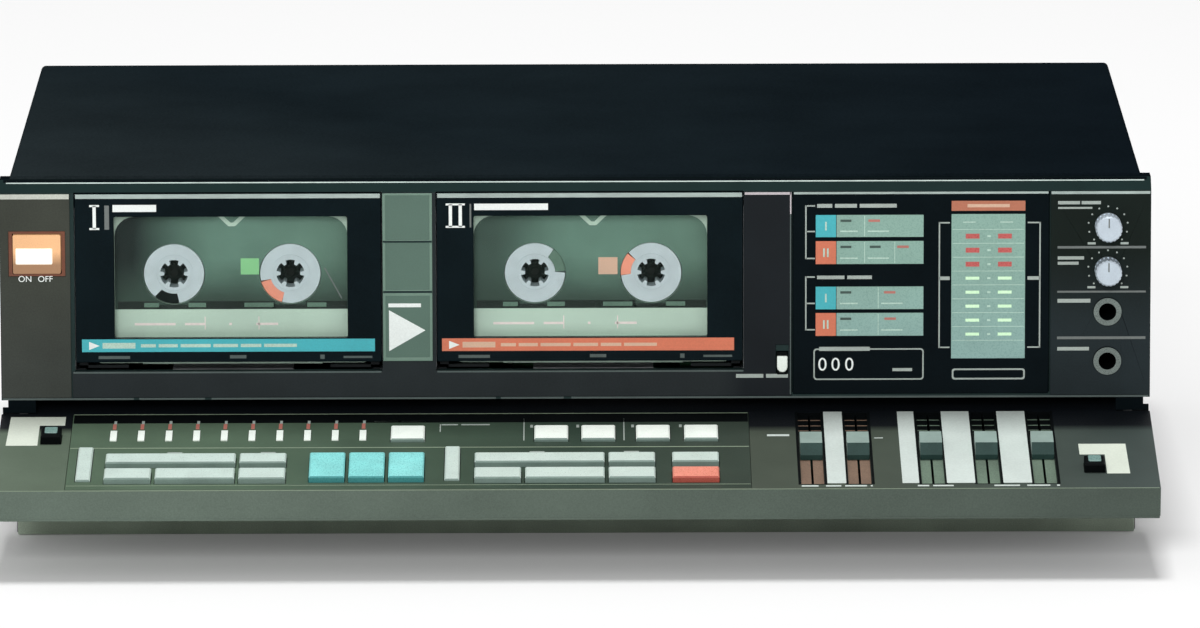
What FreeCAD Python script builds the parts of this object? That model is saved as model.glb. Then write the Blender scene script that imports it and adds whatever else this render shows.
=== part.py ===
import FreeCAD
import Part
import Sketcher
import os
import re

# A double cassette deck with a pull-out control drawer, drawn at rest with the drawer out.
# X runs to the viewer's right, Y to the rear and Z up. The origin is on the floor, under the
# middle of the whole outline. The fascia's front plane is at Y = front_y.

# Driving sizes in millimetres, angles in degrees.
SIZES = {
    # Case
    "body_wide": 420.0,
    "body_deep": 245.0,
    "body_tall": 133.0,
    "sheet_thick": 1.2,
    "case_inset": 3.4,
    "case_gap": 0.2,
    "foot_tall": 8.0,
    "foot_wide": 12.0,
    "foot_long": 22.0,
    "cover_start": 4.4,
    "cover_low": 20.0,
    "cover_bend": 2.0,
    "wall_tall": 62.0,
    "socket_stand": 8.0,
    # Fascia
    "fascia_low": 50.5,
    "fascia_deep": 12.0,
    "skin_thick": 3.0,
    "fascia_bevel": 4.2,
    "fit_gap": 0.3,
    # Cassette doors
    "door_wide": 111.6,
    "door_low": 64.6,
    "door_high": 127.2,
    "door_gap": 0.4,
    "door_slot": 3.4,
    "door_x1": -126.65,
    "door_x2": 5.25,
    "hinge_deep": 8.0,
    "hinge_z": 60.0,
    "pin_radius": 1.5,
    "pin_fit": 0.05,
    "rail_inset": 0.9,
    "rail_step": 1.6,
    "rail_foot": 4.4,
    "rail_short": 9.4,
    "rail_back": 0.5,
    "shelf_drop": 1.3,
    "ledge_wide": 18.0,
    "lug_wide": 2.4,
    "lug_long": 5.2,
    "lug_tall": 4.4,
    "lug_drop": 2.4,
    "pin_reach": 2.6,
    # Cassettes
    "tape_wide": 100.4,
    "tape_tall": 63.8,
    "tape_thick": 8.7,
    "tape_bulge": 1.65,
    "tape_wall": 1.1,
    "tape_front": 6.5,
    "tape_low": 62.9,
    "tape_shift": 1.2,
    "bulge_wide": 66.0,
    "bulge_tall": 13.6,
    "head_gap_tall": 4.0,
    "hub_pitch": 42.5,
    "hub_z": 96.1,
    "hub_radius": 11.0,
    "hub_ring": 5.6,
    "hub_bore": 4.9,
    "tooth_tip": 3.6,
    "tooth_wide": 1.5,
    "tooth_root": 0.4,
    # Tape transports and reel spindles
    "plate_gap": 1.65,
    "plate_thick": 1.5,
    "frame_tall": 63.0,
    "frame_lift": 1.5,
    "side_tall": 66.0,
    "side_drop": 4.5,
    "head_wide": 44.0,
    "head_long": 15.5,
    "head_tall": 5.4,
    "spindle_core": 2.6,
    "spindle_fin": 4.1,
    "fin_thick": 0.9,
    "spindle_long": 9.0,
    "stub_long": 4.0,
    "table_radius": 8.0,
    "table_lift": 0.4,
    "table_thick": 1.2,
    "motor_radius": 14.0,
    "motor_long": 26.0,
    "motor_x": 14.0,
    "wheel_radius": 15.0,
    "wheel_thick": 5.0,
    "wheel_x": -30.0,
    "axle_radius": 2.5,
    # Display panel, end panels and their controls
    "display_left": 79.3,
    "display_wide": 93.6,
    "display_low": 52.9,
    "display_tall": 74.0,
    "display_thick": 2.5,
    "display_lip": 3.0,
    "power_x": -196.4,
    "power_z": 105.0,
    "power_wide": 17.4,
    "power_tall": 14.4,
    "power_proud": 1.2,
    "rim_wide": 20.8,
    "rim_tall": 16.8,
    "rim_drop": 8.3,
    "rim_deep": 1.2,
    "button_back": 8.0,
    "reset_x": 75.5,
    "reset_z": 63.6,
    "reset_wide": 3.9,
    "reset_tall": 8.4,
    "reset_proud": 1.8,
    "knob_x": 194.3,
    "knob_z1": 114.3,
    "knob_z2": 98.0,
    "knob_radius": 4.85,
    "knob_long": 8.5,
    "knob_gap": 0.5,
    "knob_edge": 0.6,
    "groove_radius": 0.5,
    "shaft_radius": 3.0,
    "shaft_long": 9.0,
    "jack_z1": 82.4,
    "jack_z2": 64.1,
    "jack_bore": 3.2,
    "jack_ring": 5.1,
    "ring_lip": 0.7,
    "ring_stand": 1.0,
    "jack_long": 24.0,
    # Control drawer, in its own tilted frame: X, then v up its slope, then w square to it
    "drawer_reach": 76.3,
    "drawer_lip": 32.5,
    "drawer_tilt": 9.6,
    "drawer_thick": 10.6,
    "drawer_long": 77.2,
    "drawer_travel": 77.0,
    "tail_long": 23.0,
    "tail_inset": 9.5,
    "arm_long": 40.0,
    "arm_wide": 5.5,
    "plate_left": -183.6,
    "plate_right": 63.0,
    "plate_near": 1.8,
    "plate_far": 76.6,
    "plate_seat": 2.0,
    "well_deep": 8.0,
    # Keys
    "key_rise": 2.2,
    "key_sink": 5.5,
    "key_edge": 0.5,
    "key_short": 16.8,
    "key_gap": 1.5,
    "block_wide": 65.2,
    "block_left1": -169.9,
    "block_left2": -36.6,
    "row_near": 7.3,
    "row_long": 10.4,
    "row2_near": 23.0,
    "row2_long": 9.2,
    "dub_left": -96.2,
    "dub_wide": 12.8,
    "dub_near": 8.2,
    "dub_long": 24.4,
    "record_left": 34.8,
    "eject_wide": 5.4,
    "eject_left1": -180.3,
    "eject_left2": -47.4,
    "eject_near": 9.5,
    "eject_long": 33.0,
    "eject_rise": 0.6,
    "white_wide": 12.3,
    "white_near": 48.0,
    "white_long": 13.8,
    "white_rise": 1.2,
    "white_left1": -67.3,
    "white_left2": -15.1,
    "white_left3": 2.0,
    "white_left4": 21.9,
    "white_left5": 39.4,
    "lamp_first": -168.2,
    "lamp_pitch": 10.08,
    "lamp_wide": 2.4,
    "lamp_near": 49.6,
    "lamp_long": 9.8,
    "lamp_rise": 0.3,
    "button_wide": 7.4,
    "button_long": 9.1,
    "button_rise": 3.2,
    "button_left1": -194.4,
    "button_near1": 46.8,
    "button_left2": 183.4,
    "button_near2": 15.6,
    # Faders
    "fader_wide": 8.0,
    "fader_long": 15.5,
    "fader_near": 31.5,
    "fader_rise": 3.9,
    "slot_gap": 0.2,
    "slot_near": 5.0,
    "slot_far": 77.2,
    "slot_deep": 7.0,
    "channel_deep": 1.4,
    "slit_wide": 1.2,
    "blade_thick": 0.8,
    "blade_long": 6.0,
    "nose_long": 4.5,
    "foot_rise": 0.8,
    "fader_x1": 85.2,
    "fader_x2": 102.2,
    "fader_x3": 128.6,
    "fader_x4": 148.6,
    "fader_x5": 169.0,
    # Inside and rear
    "board_thick": 1.6,
    "board_lift": 7.0,
    "board_left": -66.0,
    "board_start": 92.0,
    "board_wide": 252.0,
    "board_long": 142.0,
    "post_radius": 3.0,
    "display_room": 5.0,
    "display_edge": 4.0,
    "core_wide": 62.0,
    "core_long": 46.0,
    "core_tall": 50.0,
    "core_x": -150.0,
    "core_start": 165.0,
    "core_leg": 12.0,
    "rail_wide": 9.0,
    "rail_thick": 1.5,
    "vent_left": -20.0,
    "vent_pitch": 9.0,
    "vent_wide": 4.0,
    "vent_low": 92.0,
    "vent_tall": 26.0,
    "flange": 4.0,
    "flange_thick": 1.6,
    "lines_left": -154.0,
    "lines_wide": 88.0,
    "lines_low": 14.0,
    "lines_tall": 36.0,
    "lines_deep": 14.0,
    "plug_pitch": 20.0,
    "plug_rise": 15.0,
    "plug_bore": 1.7,
    "inlet_left": 117.0,
    "inlet_wide": 32.0,
    "inlet_ear": 3.0,
    "inlet_low": 16.0,
    "inlet_tall": 28.0,
    "inlet_pin": 1.2,
    "screw_head": 3.4,
    "screw_shank": 1.5,
    "pin_plug": 4.15,
}

# Sizes that follow from the driving ones.
FOLLOWS = {
    "front_y": "(drawer_reach - body_deep - socket_stand) / 2",
    "case_wide": "body_wide - 2 * case_inset",
    "pan_wide": "case_wide - 2 * sheet_thick - 2 * case_gap",
    "pan_inner": "pan_wide - 2 * sheet_thick",
    "pan_start": "skin_thick + fit_gap",
    "floor_top": "foot_tall + sheet_thick",
    "cover_under": "body_tall - sheet_thick",
    "fascia_high": "cover_under - 0.1",
    "door_tall": "door_high - door_low",
    "tape_back": "tape_front + tape_thick",
    "plate_deep": "tape_back + tape_bulge + plate_gap",
    "hinge_y": "front_y + hinge_deep",
    "drawer_y": "front_y - drawer_reach",
    "tail_wide": "body_wide - 2 * tail_inset",
    "rail_outer": "door_wide / 2 - rail_inset",
    "rail_inner": "tape_wide / 2 + fit_gap + tape_shift",
    "side_plate": "door_wide / 2 + fit_gap",
    "back_y": "front_y + body_deep",
    "front_wall": "drawer_lip + drawer_reach * tan(drawer_tilt) - drawer_thick / cos(drawer_tilt)"
                  " - foot_tall - rail_thick",
    "block_mid": "block_wide - 2 * key_short - 2 * key_gap",
    "block_long": "block_wide - key_short - key_gap",
    "slot_wide": "fader_wide + 2 * slot_gap",
}

doc = FreeCAD.newDocument("cassette_duplicator")
sheet = doc.addObject("Spreadsheet::Sheet", "Sheet")
for row, (alias, size) in enumerate(SIZES.items(), start=1):
    sheet.set("A%d" % row, alias)
    sheet.set("B%d" % row, str(size))
    sheet.setAlias("B%d" % row, alias)
doc.recompute()

NODES = []
WORD = re.compile(r"[a-z][a-z_0-9]*")


def formula(text):
    """Turn a line of named sizes into an expression on the sheet."""
    def swap(match):
        word = match.group(0)
        if word in SIZES:
            return "Sheet." + word
        if word in FOLLOWS:
            return "(" + formula(FOLLOWS[word]) + ")"
        return word
    return WORD.sub(swap, str(text))


def bind(thing, field, text):
    thing.setExpression(field, formula(text))


def place(thing, x="0", y="0", z="0"):
    bind(thing, "Placement.Base.x", x)
    bind(thing, "Placement.Base.y", y)
    bind(thing, "Placement.Base.z", z)
    return thing


def turn(thing, axis, angle):
    """Turn a piece about an axis through its own origin."""
    base = thing.Placement.Base
    thing.Placement = FreeCAD.Placement(base, FreeCAD.Rotation(FreeCAD.Vector(*axis), 1))
    bind(thing, "Placement.Rotation.Angle", angle)
    return thing


def node(thing, name):
    """Name a finished sub-part."""
    thing.Label = name
    NODES.append(thing)
    return thing


def on_drawer(thing):
    """Carry a piece drawn flat onto the tilted drawer."""
    turn(thing, (1, 0, 0), "drawer_tilt")
    return place(thing, "0", "drawer_y", "drawer_lip")


def block(x, y, z, wide, long, tall):
    """A box from its lowest corner."""
    box = doc.addObject("Part::Box", "block")
    bind(box, "Length", wide)
    bind(box, "Width", long)
    bind(box, "Height", tall)
    return place(box, x, y, z)


def centred(x, y, z, wide, long, tall):
    """A box centred on x."""
    return block("(%s) - (%s) / 2" % (x, wide), y, z, wide, long, tall)


def tilted(x, v, w, wide, long, tall):
    """A box drawn in the drawer's frame and left in place there."""
    box = block("0", "0", "0", wide, long, tall)
    turn(box, (1, 0, 0), "drawer_tilt")
    along = "drawer_y + (%s) * cos(drawer_tilt) - (%s) * sin(drawer_tilt)" % (v, w)
    up = "drawer_lip + (%s) * sin(drawer_tilt) + (%s) * cos(drawer_tilt)" % (v, w)
    return place(box, x, along, up)


def rod(x, y, z, radius, long, facing=None):
    """A cylinder that runs up, or along the way it faces."""
    cylinder = doc.addObject("Part::Cylinder", "rod")
    bind(cylinder, "Radius", radius)
    bind(cylinder, "Height", long)
    if facing == "rear":
        turn(cylinder, (1, 0, 0), "-90")
    if facing == "right":
        turn(cylinder, (0, 1, 0), "90")
    return place(cylinder, x, y, z)


def fuse(pieces):
    whole = doc.addObject("Part::MultiFuse", "fuse")
    whole.Shapes = pieces
    return whole


def cut(base, tools):
    left = doc.addObject("Part::Cut", "cut")
    left.Base = base
    left.Tool = tools[0] if len(tools) == 1 else fuse(tools)
    return left


def group(pieces):
    """Separate solids that share one node."""
    whole = doc.addObject("Part::Compound", "group")
    whole.Links = pieces
    return whole


def mirrored(piece, normal=(1, 0, 0)):
    twin = doc.addObject("Part::Mirroring", "twin")
    twin.Source = piece
    twin.Normal = FreeCAD.Vector(*normal)
    return twin


def body(name):
    return doc.addObject("PartDesign::Body", "body_" + name)


def sketch(owner, role="XY_Plane", lift="0"):
    """An empty sketch on one of the body's own planes, lifted along that plane's normal."""
    page = owner.newObject("Sketcher::SketchObject", "sketch")
    planes = [item for item in owner.Origin.OriginFeatures if item.Role == role]
    page.AttachmentSupport = [(planes[0], "")]
    page.MapMode = "FlatFace"
    bind(page, "AttachmentOffset.Base.z", lift)
    return page


def fix(page, tag, kind, *ends_and_size):
    """Add one dimension and bind it to its size."""
    *ends, size = ends_and_size
    index = page.addConstraint(Sketcher.Constraint(kind, *ends, 1.0))
    page.renameConstraint(index, tag)
    bind(page, "Constraints." + tag, size)


def rectangle(page, x, y, wide, tall):
    """A rectangle from its lowest corner."""
    first = page.GeometryCount
    spots = [FreeCAD.Vector(0, 0), FreeCAD.Vector(1, 0), FreeCAD.Vector(1, 1), FreeCAD.Vector(0, 1)]
    page.addGeometry([Part.LineSegment(spots[n], spots[(n + 1) % 4]) for n in range(4)], False)
    for n in range(4):
        page.addConstraint(Sketcher.Constraint("Coincident", first + n, 2, first + (n + 1) % 4, 1))
    for n in (0, 2):
        page.addConstraint(Sketcher.Constraint("Horizontal", first + n))
        page.addConstraint(Sketcher.Constraint("Vertical", first + n + 1))
    tag = "r%d" % first
    fix(page, tag + "x", "DistanceX", -1, 1, first, 1, x)
    fix(page, tag + "y", "DistanceY", -1, 1, first, 1, y)
    fix(page, tag + "wide", "DistanceX", first, 1, first, 2, wide)
    fix(page, tag + "tall", "DistanceY", first + 1, 1, first + 1, 2, tall)
    return page


def circle(page, x, y, radius):
    first = page.GeometryCount
    page.addGeometry(Part.Circle(FreeCAD.Vector(0, 0), FreeCAD.Vector(0, 0, 1), 1), False)
    tag = "c%d" % first
    fix(page, tag + "x", "DistanceX", -1, 1, first, 3, x)
    fix(page, tag + "y", "DistanceY", -1, 1, first, 3, y)
    fix(page, tag + "radius", "Radius", first, radius)
    return page


def pad(owner, page, length):
    step = owner.newObject("PartDesign::Pad", "pad")
    step.Profile = page
    bind(step, "Length", length)
    return step


def pocket(owner, page, length):
    """Cut from the sketch against its plane's normal."""
    step = owner.newObject("PartDesign::Pocket", "pocket")
    step.Profile = page
    bind(step, "Length", length)
    return step


def top_face(shape):
    heights = [face.CenterOfMass.z for face in shape.Faces]
    return "Face%d" % (heights.index(max(heights)) + 1)


def edges_where(shape, test):
    """Names of the straight edges whose two ends both pass the test."""
    names = []
    for number, edge in enumerate(shape.Edges, start=1):
        if len(edge.Vertexes) == 2 and all(test(corner.Point) for corner in edge.Vertexes):
            names.append("Edge%d" % number)
    return names


def dress(owner, kind, base, names, size):
    """A chamfer or fillet on named edges or faces."""
    step = owner.newObject("PartDesign::" + kind, kind.lower())
    step.Base = (base, names)
    bind(step, "Size" if kind == "Chamfer" else "Radius", size)
    return step


def polar(owner, feature, count):
    """Repeat a feature around the body's own upright axis."""
    axes = [item for item in owner.Origin.OriginFeatures if item.Role == "Z_Axis"]
    step = owner.newObject("PartDesign::PolarPattern", "pattern")
    step.Originals = [feature]
    step.Axis = (axes[0], [""])
    step.Angle = 360
    step.Occurrences = count
    owner.Tip = step
    return step


def drawer_slot_tools():
    """The room that the drawer's full-width part needs in the side walls when pushed in."""
    near = "drawer_long - 12"
    long = "drawer_travel + 15"
    low = "-drawer_thick - 0.8"
    tall = "drawer_thick + 1.6"
    return [
        tilted("body_wide / 2 - 16", near, low, "20", long, tall),
        tilted("-body_wide / 2 - 4", near, low, "20", long, tall),
    ]


SIDE_SCREW_DEEP = ("100", "200")
SIDE_SCREW_Z = "cover_low + 18"


def side_screw_holes(wider):
    """Cross holes through both side walls for the case screws."""
    holes = []
    for deep in SIDE_SCREW_DEEP:
        holes.append(rod("-body_wide / 2 - 2", "front_y + " + deep, SIDE_SCREW_Z,
                         "screw_shank + " + wider, "body_wide + 4", "right"))
    return holes


def make_chassis():
    """Folded steel pan: floor, walls, drawer rails and board posts."""
    long = "body_deep - pan_start - case_gap"
    start = "front_y + pan_start"
    floor = centred("0", start, "foot_tall", "pan_wide", long, "sheet_thick")
    front = centred("0", start, "foot_tall", "pan_wide", "sheet_thick", "front_wall")
    right = block("pan_inner / 2", start, "foot_tall", "sheet_thick", long, "wall_tall")
    left = block("-pan_wide / 2", start, "foot_tall", "sheet_thick", long, "wall_tall")
    rear = centred("0", "back_y - case_gap - sheet_thick", "foot_tall", "pan_wide", "sheet_thick",
                   "fascia_high - foot_tall")
    shell = fuse([floor, front, right, left, rear])
    openings = drawer_slot_tools() + side_screw_holes("0.1")
    for n in range(9):
        openings.append(block("vent_left + %d * vent_pitch" % n, "back_y - 4", "vent_low", "vent_wide", "8",
                              "vent_tall"))
    openings.append(block("lines_left + flange", "back_y - 4", "floor_top + lines_low + flange",
                          "lines_wide - 2 * flange", "8", "lines_tall - 2 * flange"))
    openings.append(block("inlet_left + inlet_ear", "back_y - 4", "floor_top + inlet_low + flange",
                          "inlet_wide - 2 * inlet_ear", "8", "inlet_tall - 2 * flange"))
    for n in range(6):
        openings.append(block("-60 + %d * 10" % n, "front_y + 130", "foot_tall - 1", "vent_wide", "60", "4"))
    shell = cut(shell, openings)
    shelf_v = "drawer_long + 5.4"
    shelf_w = "-drawer_thick - fit_gap - rail_thick"
    shelf_long = "drawer_travel + tail_long + arm_long"
    shelves = [
        tilted("pan_inner / 2 - rail_wide", shelf_v, shelf_w, "rail_wide", shelf_long, "rail_thick"),
        tilted("-pan_inner / 2", shelf_v, shelf_w, "rail_wide", shelf_long, "rail_thick"),
    ]
    posts = []
    for x in ("-60", "180"):
        for deep in ("100", "225"):
            posts.append(rod(x, "front_y + " + deep, "floor_top", "post_radius", "board_lift"))
    return node(fuse([shell] + shelves + posts), "chassis")


def make_cover():
    """Folded steel cover: a top and two sides, open at the front, rear and bottom."""
    shell = body("cover")
    page = rectangle(sketch(shell, lift="cover_low"), "-case_wide / 2", "front_y + cover_start",
                     "case_wide", "body_deep - cover_start")
    block_step = pad(shell, page, "body_tall - cover_low")
    doc.recompute()
    names = edges_where(block_step.Shape, lambda spot: spot.z > SIZES["body_tall"] - 1)
    long_edges = [name for name in names
                  if block_step.Shape.getElement(name).Length < SIZES["body_deep"]]
    rounded = dress(shell, "Fillet", block_step, long_edges, "cover_bend")
    doc.recompute()
    hollow = rectangle(sketch(shell, lift="cover_under"), "-case_wide / 2 + sheet_thick",
                       "front_y", "case_wide - 2 * sheet_thick", "body_deep + 2")
    pocket(shell, hollow, "body_tall")
    brow = rectangle(sketch(shell, lift="cover_under"), "-case_wide / 2 - 1", "front_y",
                     "case_wide + 2", "fascia_deep + fit_gap")
    pocket(shell, brow, "body_tall")
    return node(cut(shell, drawer_slot_tools() + side_screw_holes("0.1")), "top_cover")


def make_fascia():
    """Moulded front frame with openings for doors, display, buttons, knobs and jacks."""
    shell = body("fascia")
    outline = rectangle(sketch(shell, lift="fascia_low"), "-body_wide / 2", "front_y",
                        "body_wide", "fascia_deep")
    solid = pad(shell, outline, "fascia_high - fascia_low")
    doc.recompute()
    front_y = solid.Shape.BoundBox.YMin
    high = solid.Shape.BoundBox.ZMax
    brow = edges_where(solid.Shape, lambda spot: spot.z > high - 0.1 and spot.y < front_y + 0.1)
    dress(shell, "Chamfer", solid, brow, "fascia_bevel")
    inside = rectangle(sketch(shell, lift="fascia_high - skin_thick"), "-body_wide / 2 + skin_thick",
                       "front_y + skin_thick", "body_wide - 2 * skin_thick", "fascia_deep")
    pocket(shell, inside, "body_tall")
    holes = sketch(shell, "XZ_Plane", "1 - front_y")
    for x in ("door_x1", "door_x2"):
        rectangle(holes, x + " - door_wide / 2 - door_gap", "door_low - door_slot",
                  "door_wide + 2 * door_gap", "door_tall + door_slot + door_gap")
    rectangle(holes, "power_x - power_wide / 2 - fit_gap", "power_z - power_tall / 2 - fit_gap",
              "power_wide + 2 * fit_gap", "power_tall + 2 * fit_gap")
    rectangle(holes, "reset_x - reset_wide / 2 - fit_gap", "reset_z - reset_tall / 2 - fit_gap",
              "reset_wide + 2 * fit_gap", "reset_tall + 2 * fit_gap")
    rectangle(holes, "display_left + display_lip", "display_low + display_lip",
              "display_wide - 2 * display_lip", "display_tall - 2 * display_lip")
    for z in ("knob_z1", "knob_z2"):
        circle(holes, "knob_x", z, "shaft_radius + slot_gap")
    for z in ("jack_z1", "jack_z2"):
        circle(holes, "knob_x", z, "jack_ring - ring_lip + slot_gap")
    pocket(shell, holes, "skin_thick + 2")
    seat = rectangle(sketch(shell, "XZ_Plane", "1 - front_y"), "display_left - fit_gap",
                     "display_low - fit_gap", "display_wide + 2 * fit_gap", "display_tall + 2 * fit_gap")
    pocket(shell, seat, "1 + display_thick")
    rim = rectangle(sketch(shell, "XZ_Plane", "1 - front_y"), "power_x - rim_wide / 2",
                    "power_z - rim_drop", "rim_wide", "rim_tall")
    pocket(shell, rim, "1 + rim_deep")
    return node(shell, "front_fascia")


def make_display():
    """Dark clear panel over the level meter, track display and counter."""
    panel = body("display")
    page = rectangle(sketch(panel, "XZ_Plane", "-front_y - display_thick"), "display_left",
                     "display_low", "display_wide", "display_tall")
    solid = pad(panel, page, "display_thick")
    doc.recompute()
    front_y = solid.Shape.BoundBox.YMin
    rim = edges_where(solid.Shape, lambda spot: spot.y < front_y + 0.1)
    dress(panel, "Chamfer", solid, rim, "key_edge")
    return node(panel, "display_window")


def make_door(name, x):
    """Window lid with the holder rails, shelf and hinge pins behind it."""
    pieces = [centred(x, "front_y", "door_low", "door_wide", "skin_thick", "door_tall")]
    rail_deep = "tape_back + tape_bulge - skin_thick - rail_back"
    foot_y = "front_y + skin_thick + rail_step"
    foot_deep = rail_deep + " - rail_step"
    shelf_z = "tape_low - shelf_drop"
    wide = "rail_outer - rail_inner"
    for side in ("-1", "1"):
        middle = "(%s) * (rail_outer + rail_inner) / 2 + %s" % (side, x)
        pieces.append(centred(middle, "front_y + skin_thick", shelf_z + " + rail_foot", wide, rail_deep,
                              "door_tall - rail_short"))
        pieces.append(centred(middle, foot_y, shelf_z, wide, foot_deep, "rail_foot"))
        ledge = "(%s) * (rail_outer - ledge_wide / 2) + %s" % (side, x)
        pieces.append(centred(ledge, foot_y, shelf_z, "ledge_wide", foot_deep, "shelf_drop - fit_gap"))
        lug = "(%s) * (rail_outer - lug_wide / 2) + %s" % (side, x)
        pieces.append(centred(lug, "hinge_y - lug_long / 2", "hinge_z - lug_drop", "lug_wide", "lug_long",
                              "lug_tall"))
    pieces.append(rod("%s - rail_outer - pin_reach" % x, "hinge_y", "hinge_z", "pin_radius",
                      "2 * rail_outer + 2 * pin_reach", "right"))
    pin_gap = centred(x, "hinge_y - 4", "hinge_z - 2.5", "2 * rail_outer - 2 * lug_wide", "8",
                      "2.5 + pin_radius + pin_fit")
    return node(cut(fuse(pieces), [pin_gap]), name)


def make_cassette(name, x):
    """Hollow compact cassette shell with hub holes and head openings."""
    middle = x + " + tape_shift"
    outer = centred(middle, "front_y + tape_front", "tape_low", "tape_wide", "tape_thick", "tape_tall")
    bulge = centred(middle, "front_y + tape_front - tape_bulge", "tape_low", "bulge_wide",
                    "tape_thick + 2 * tape_bulge", "bulge_tall")
    inside_y = "front_y + tape_front + tape_wall"
    inside_deep = "tape_thick - 2 * tape_wall"
    tools = [centred(middle, inside_y, "tape_low + tape_wall", "tape_wide - 2 * tape_wall", inside_deep,
                     "tape_tall - 2 * tape_wall")]
    for side in ("-1", "1"):
        tools.append(rod("%s + (%s) * hub_pitch / 2" % (middle, side), "front_y", "hub_z",
                         "hub_ring + fit_gap", "30", "rear"))
        tools.append(centred("%s + (%s) * 21" % (middle, side), inside_y, "tape_low - 1", "11",
                             inside_deep, "head_gap_tall"))
    tools.append(centred(middle, inside_y, "tape_low - 1", "14", inside_deep, "head_gap_tall"))
    return node(cut(fuse([outer, bulge]), tools), name)


def make_hub(name, x):
    """Toothed tape hub, drawn upright and laid on its side in the cassette."""
    hub = body(name)
    core = pad(hub, circle(sketch(hub, lift="tape_wall + fit_gap"), "0", "0", "hub_radius"),
               "tape_thick - 2 * tape_wall - 2 * fit_gap")
    doc.recompute()
    pad(hub, circle(sketch(hub), "0", "0", "hub_ring"), "tape_thick")
    pocket(hub, circle(sketch(hub, lift="tape_thick + 1"), "0", "0", "hub_bore"), "tape_thick + 2")
    tooth = pad(hub, rectangle(sketch(hub), "tooth_tip", "-tooth_wide / 2",
                               "hub_bore + tooth_root - tooth_tip", "tooth_wide"), "tape_thick")
    polar(hub, tooth, 6)
    turn(hub, (1, 0, 0), "90")
    place(hub, x, "front_y + tape_back", "hub_z")
    return node(hub, name)


def make_spindle(name, x):
    """Reel spindle: shaft, table, core and three driving fins."""
    post = body(name)
    pad(post, circle(sketch(post, lift="-stub_long"), "0", "0", "pin_radius"), "stub_long + 1")
    pad(post, circle(sketch(post, lift="table_lift"), "0", "0", "table_radius"), "table_thick")
    doc.recompute()
    core = pad(post, circle(sketch(post, lift="1"), "0", "0", "spindle_core"), "spindle_long - 1")
    doc.recompute()
    dress(post, "Chamfer", core, [top_face(core.Shape)], "1.2")
    fin = pad(post, rectangle(sketch(post, lift="1"), "-fin_thick / 2", "0", "fin_thick", "spindle_fin"),
              "spindle_long - 2.5")
    polar(post, fin, 3)
    turn(post, (1, 0, 0), "90")
    place(post, x, "front_y + plate_deep", "hub_z")
    return node(post, name)


def make_transports():
    """Tape transport frames with head block, drive motor and flywheel, one for each deck."""
    frames = []
    for x in ("door_x1", "door_x2"):
        low = "hinge_z - side_drop"
        plate = centred(x, "front_y + plate_deep", "hinge_z + frame_lift",
                        "2 * side_plate + 2 * sheet_thick", "plate_thick", "frame_tall")
        heads = centred(x + " + tape_shift", "front_y + skin_thick + 3", low, "head_wide", "head_long",
                        "head_tall")
        shelf = centred(x + " + tape_shift", "front_y + plate_deep - 0.5", low, "head_wide", "2", "8")
        motor = rod(x + " + motor_x", "front_y + plate_deep + 1", "hinge_z + 3 + motor_radius",
                    "motor_radius", "motor_long", "rear")
        wheel_x = x + " + wheel_x"
        wheel_z = "hinge_z + 2 + wheel_radius"
        wheel = rod(wheel_x, "front_y + plate_deep + 3.5", wheel_z, "wheel_radius", "wheel_thick", "rear")
        axle = rod(wheel_x, "front_y + plate_deep + 1", wheel_z, "axle_radius", "11", "rear")
        side_deep = "plate_deep + plate_thick + fit_gap - skin_thick"
        sides = [
            block(x + start, "front_y + skin_thick", low, "sheet_thick", side_deep, "side_tall")
            for start in (" + side_plate", " - side_plate - sheet_thick")
        ]
        holes = [rod(x + " - side_plate - 3", "hinge_y", "hinge_z", "pin_radius + pin_fit",
                     "2 * side_plate + 6", "right")]
        for side in ("-1", "1"):
            holes.append(rod("%s + tape_shift + (%s) * hub_pitch / 2" % (x, side), "front_y + plate_deep - 1",
                             "hub_z", "pin_radius + pin_fit", "plate_thick + 2", "rear"))
        frames.append(cut(fuse([plate, heads, shelf, motor, wheel, axle] + sides), holes))
    return node(group(frames), "tape_transports")


def make_key(name, left, near, wide, long, rise, sink="key_sink", edge="key_edge"):
    """A key cap that stands through its opening, with a chamfered top."""
    key = body(name)
    page = rectangle(sketch(key, lift="-(%s)" % sink), left, near, wide, long)
    solid = pad(key, page, "(%s) + (%s)" % (rise, sink))
    doc.recompute()
    dress(key, "Chamfer", solid, [top_face(solid.Shape)], edge)
    return node(on_drawer(key), name)


def deck_keys(tag, left):
    """The five transport keys of one deck as name, left, near, wide and long."""
    third = "%s + key_short + 2 * key_gap + block_mid" % left
    return [
        (tag + "_play_key", left, "row2_near", "block_long", "row2_long"),
        (tag + "_stop_key", third, "row2_near", "key_short", "row2_long"),
        (tag + "_rewind_key", left, "row_near", "key_short", "row_long"),
        (tag + "_wind_key", left + " + key_short + key_gap", "row_near", "block_mid", "row_long"),
        (tag + "_pause_key", third, "row_near", "key_short", "row_long"),
    ]


def key_layout():
    """Every key that stands through the key plate, with its rise above the plate."""
    keys = []
    for tag, left in (("left", "block_left1"), ("right", "block_left2")):
        keys += [entry + ("key_rise",) for entry in deck_keys(tag, left)]
    for n, tag in enumerate(("normal", "fast", "sync")):
        keys.append((tag + "_dub_key", "dub_left + %d * (dub_wide + key_gap)" % n, "dub_near",
                     "dub_wide", "dub_long", "key_rise"))
    keys.append(("mute_key", "record_left", "row2_near", "key_short", "row2_long", "key_rise"))
    keys.append(("record_key", "record_left", "row_near", "key_short", "row_long", "key_rise"))
    for tag, left in (("left", "eject_left1"), ("right", "eject_left2")):
        keys.append((tag + "_eject_key", left, "eject_near", "eject_wide", "eject_long", "eject_rise"))
    for n, tag in enumerate(("clear", "tape", "filter", "repeat", "timer"), start=1):
        keys.append((tag + "_key", "white_left%d" % n, "white_near", "white_wide", "white_long",
                     "white_rise"))
    return keys


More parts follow.
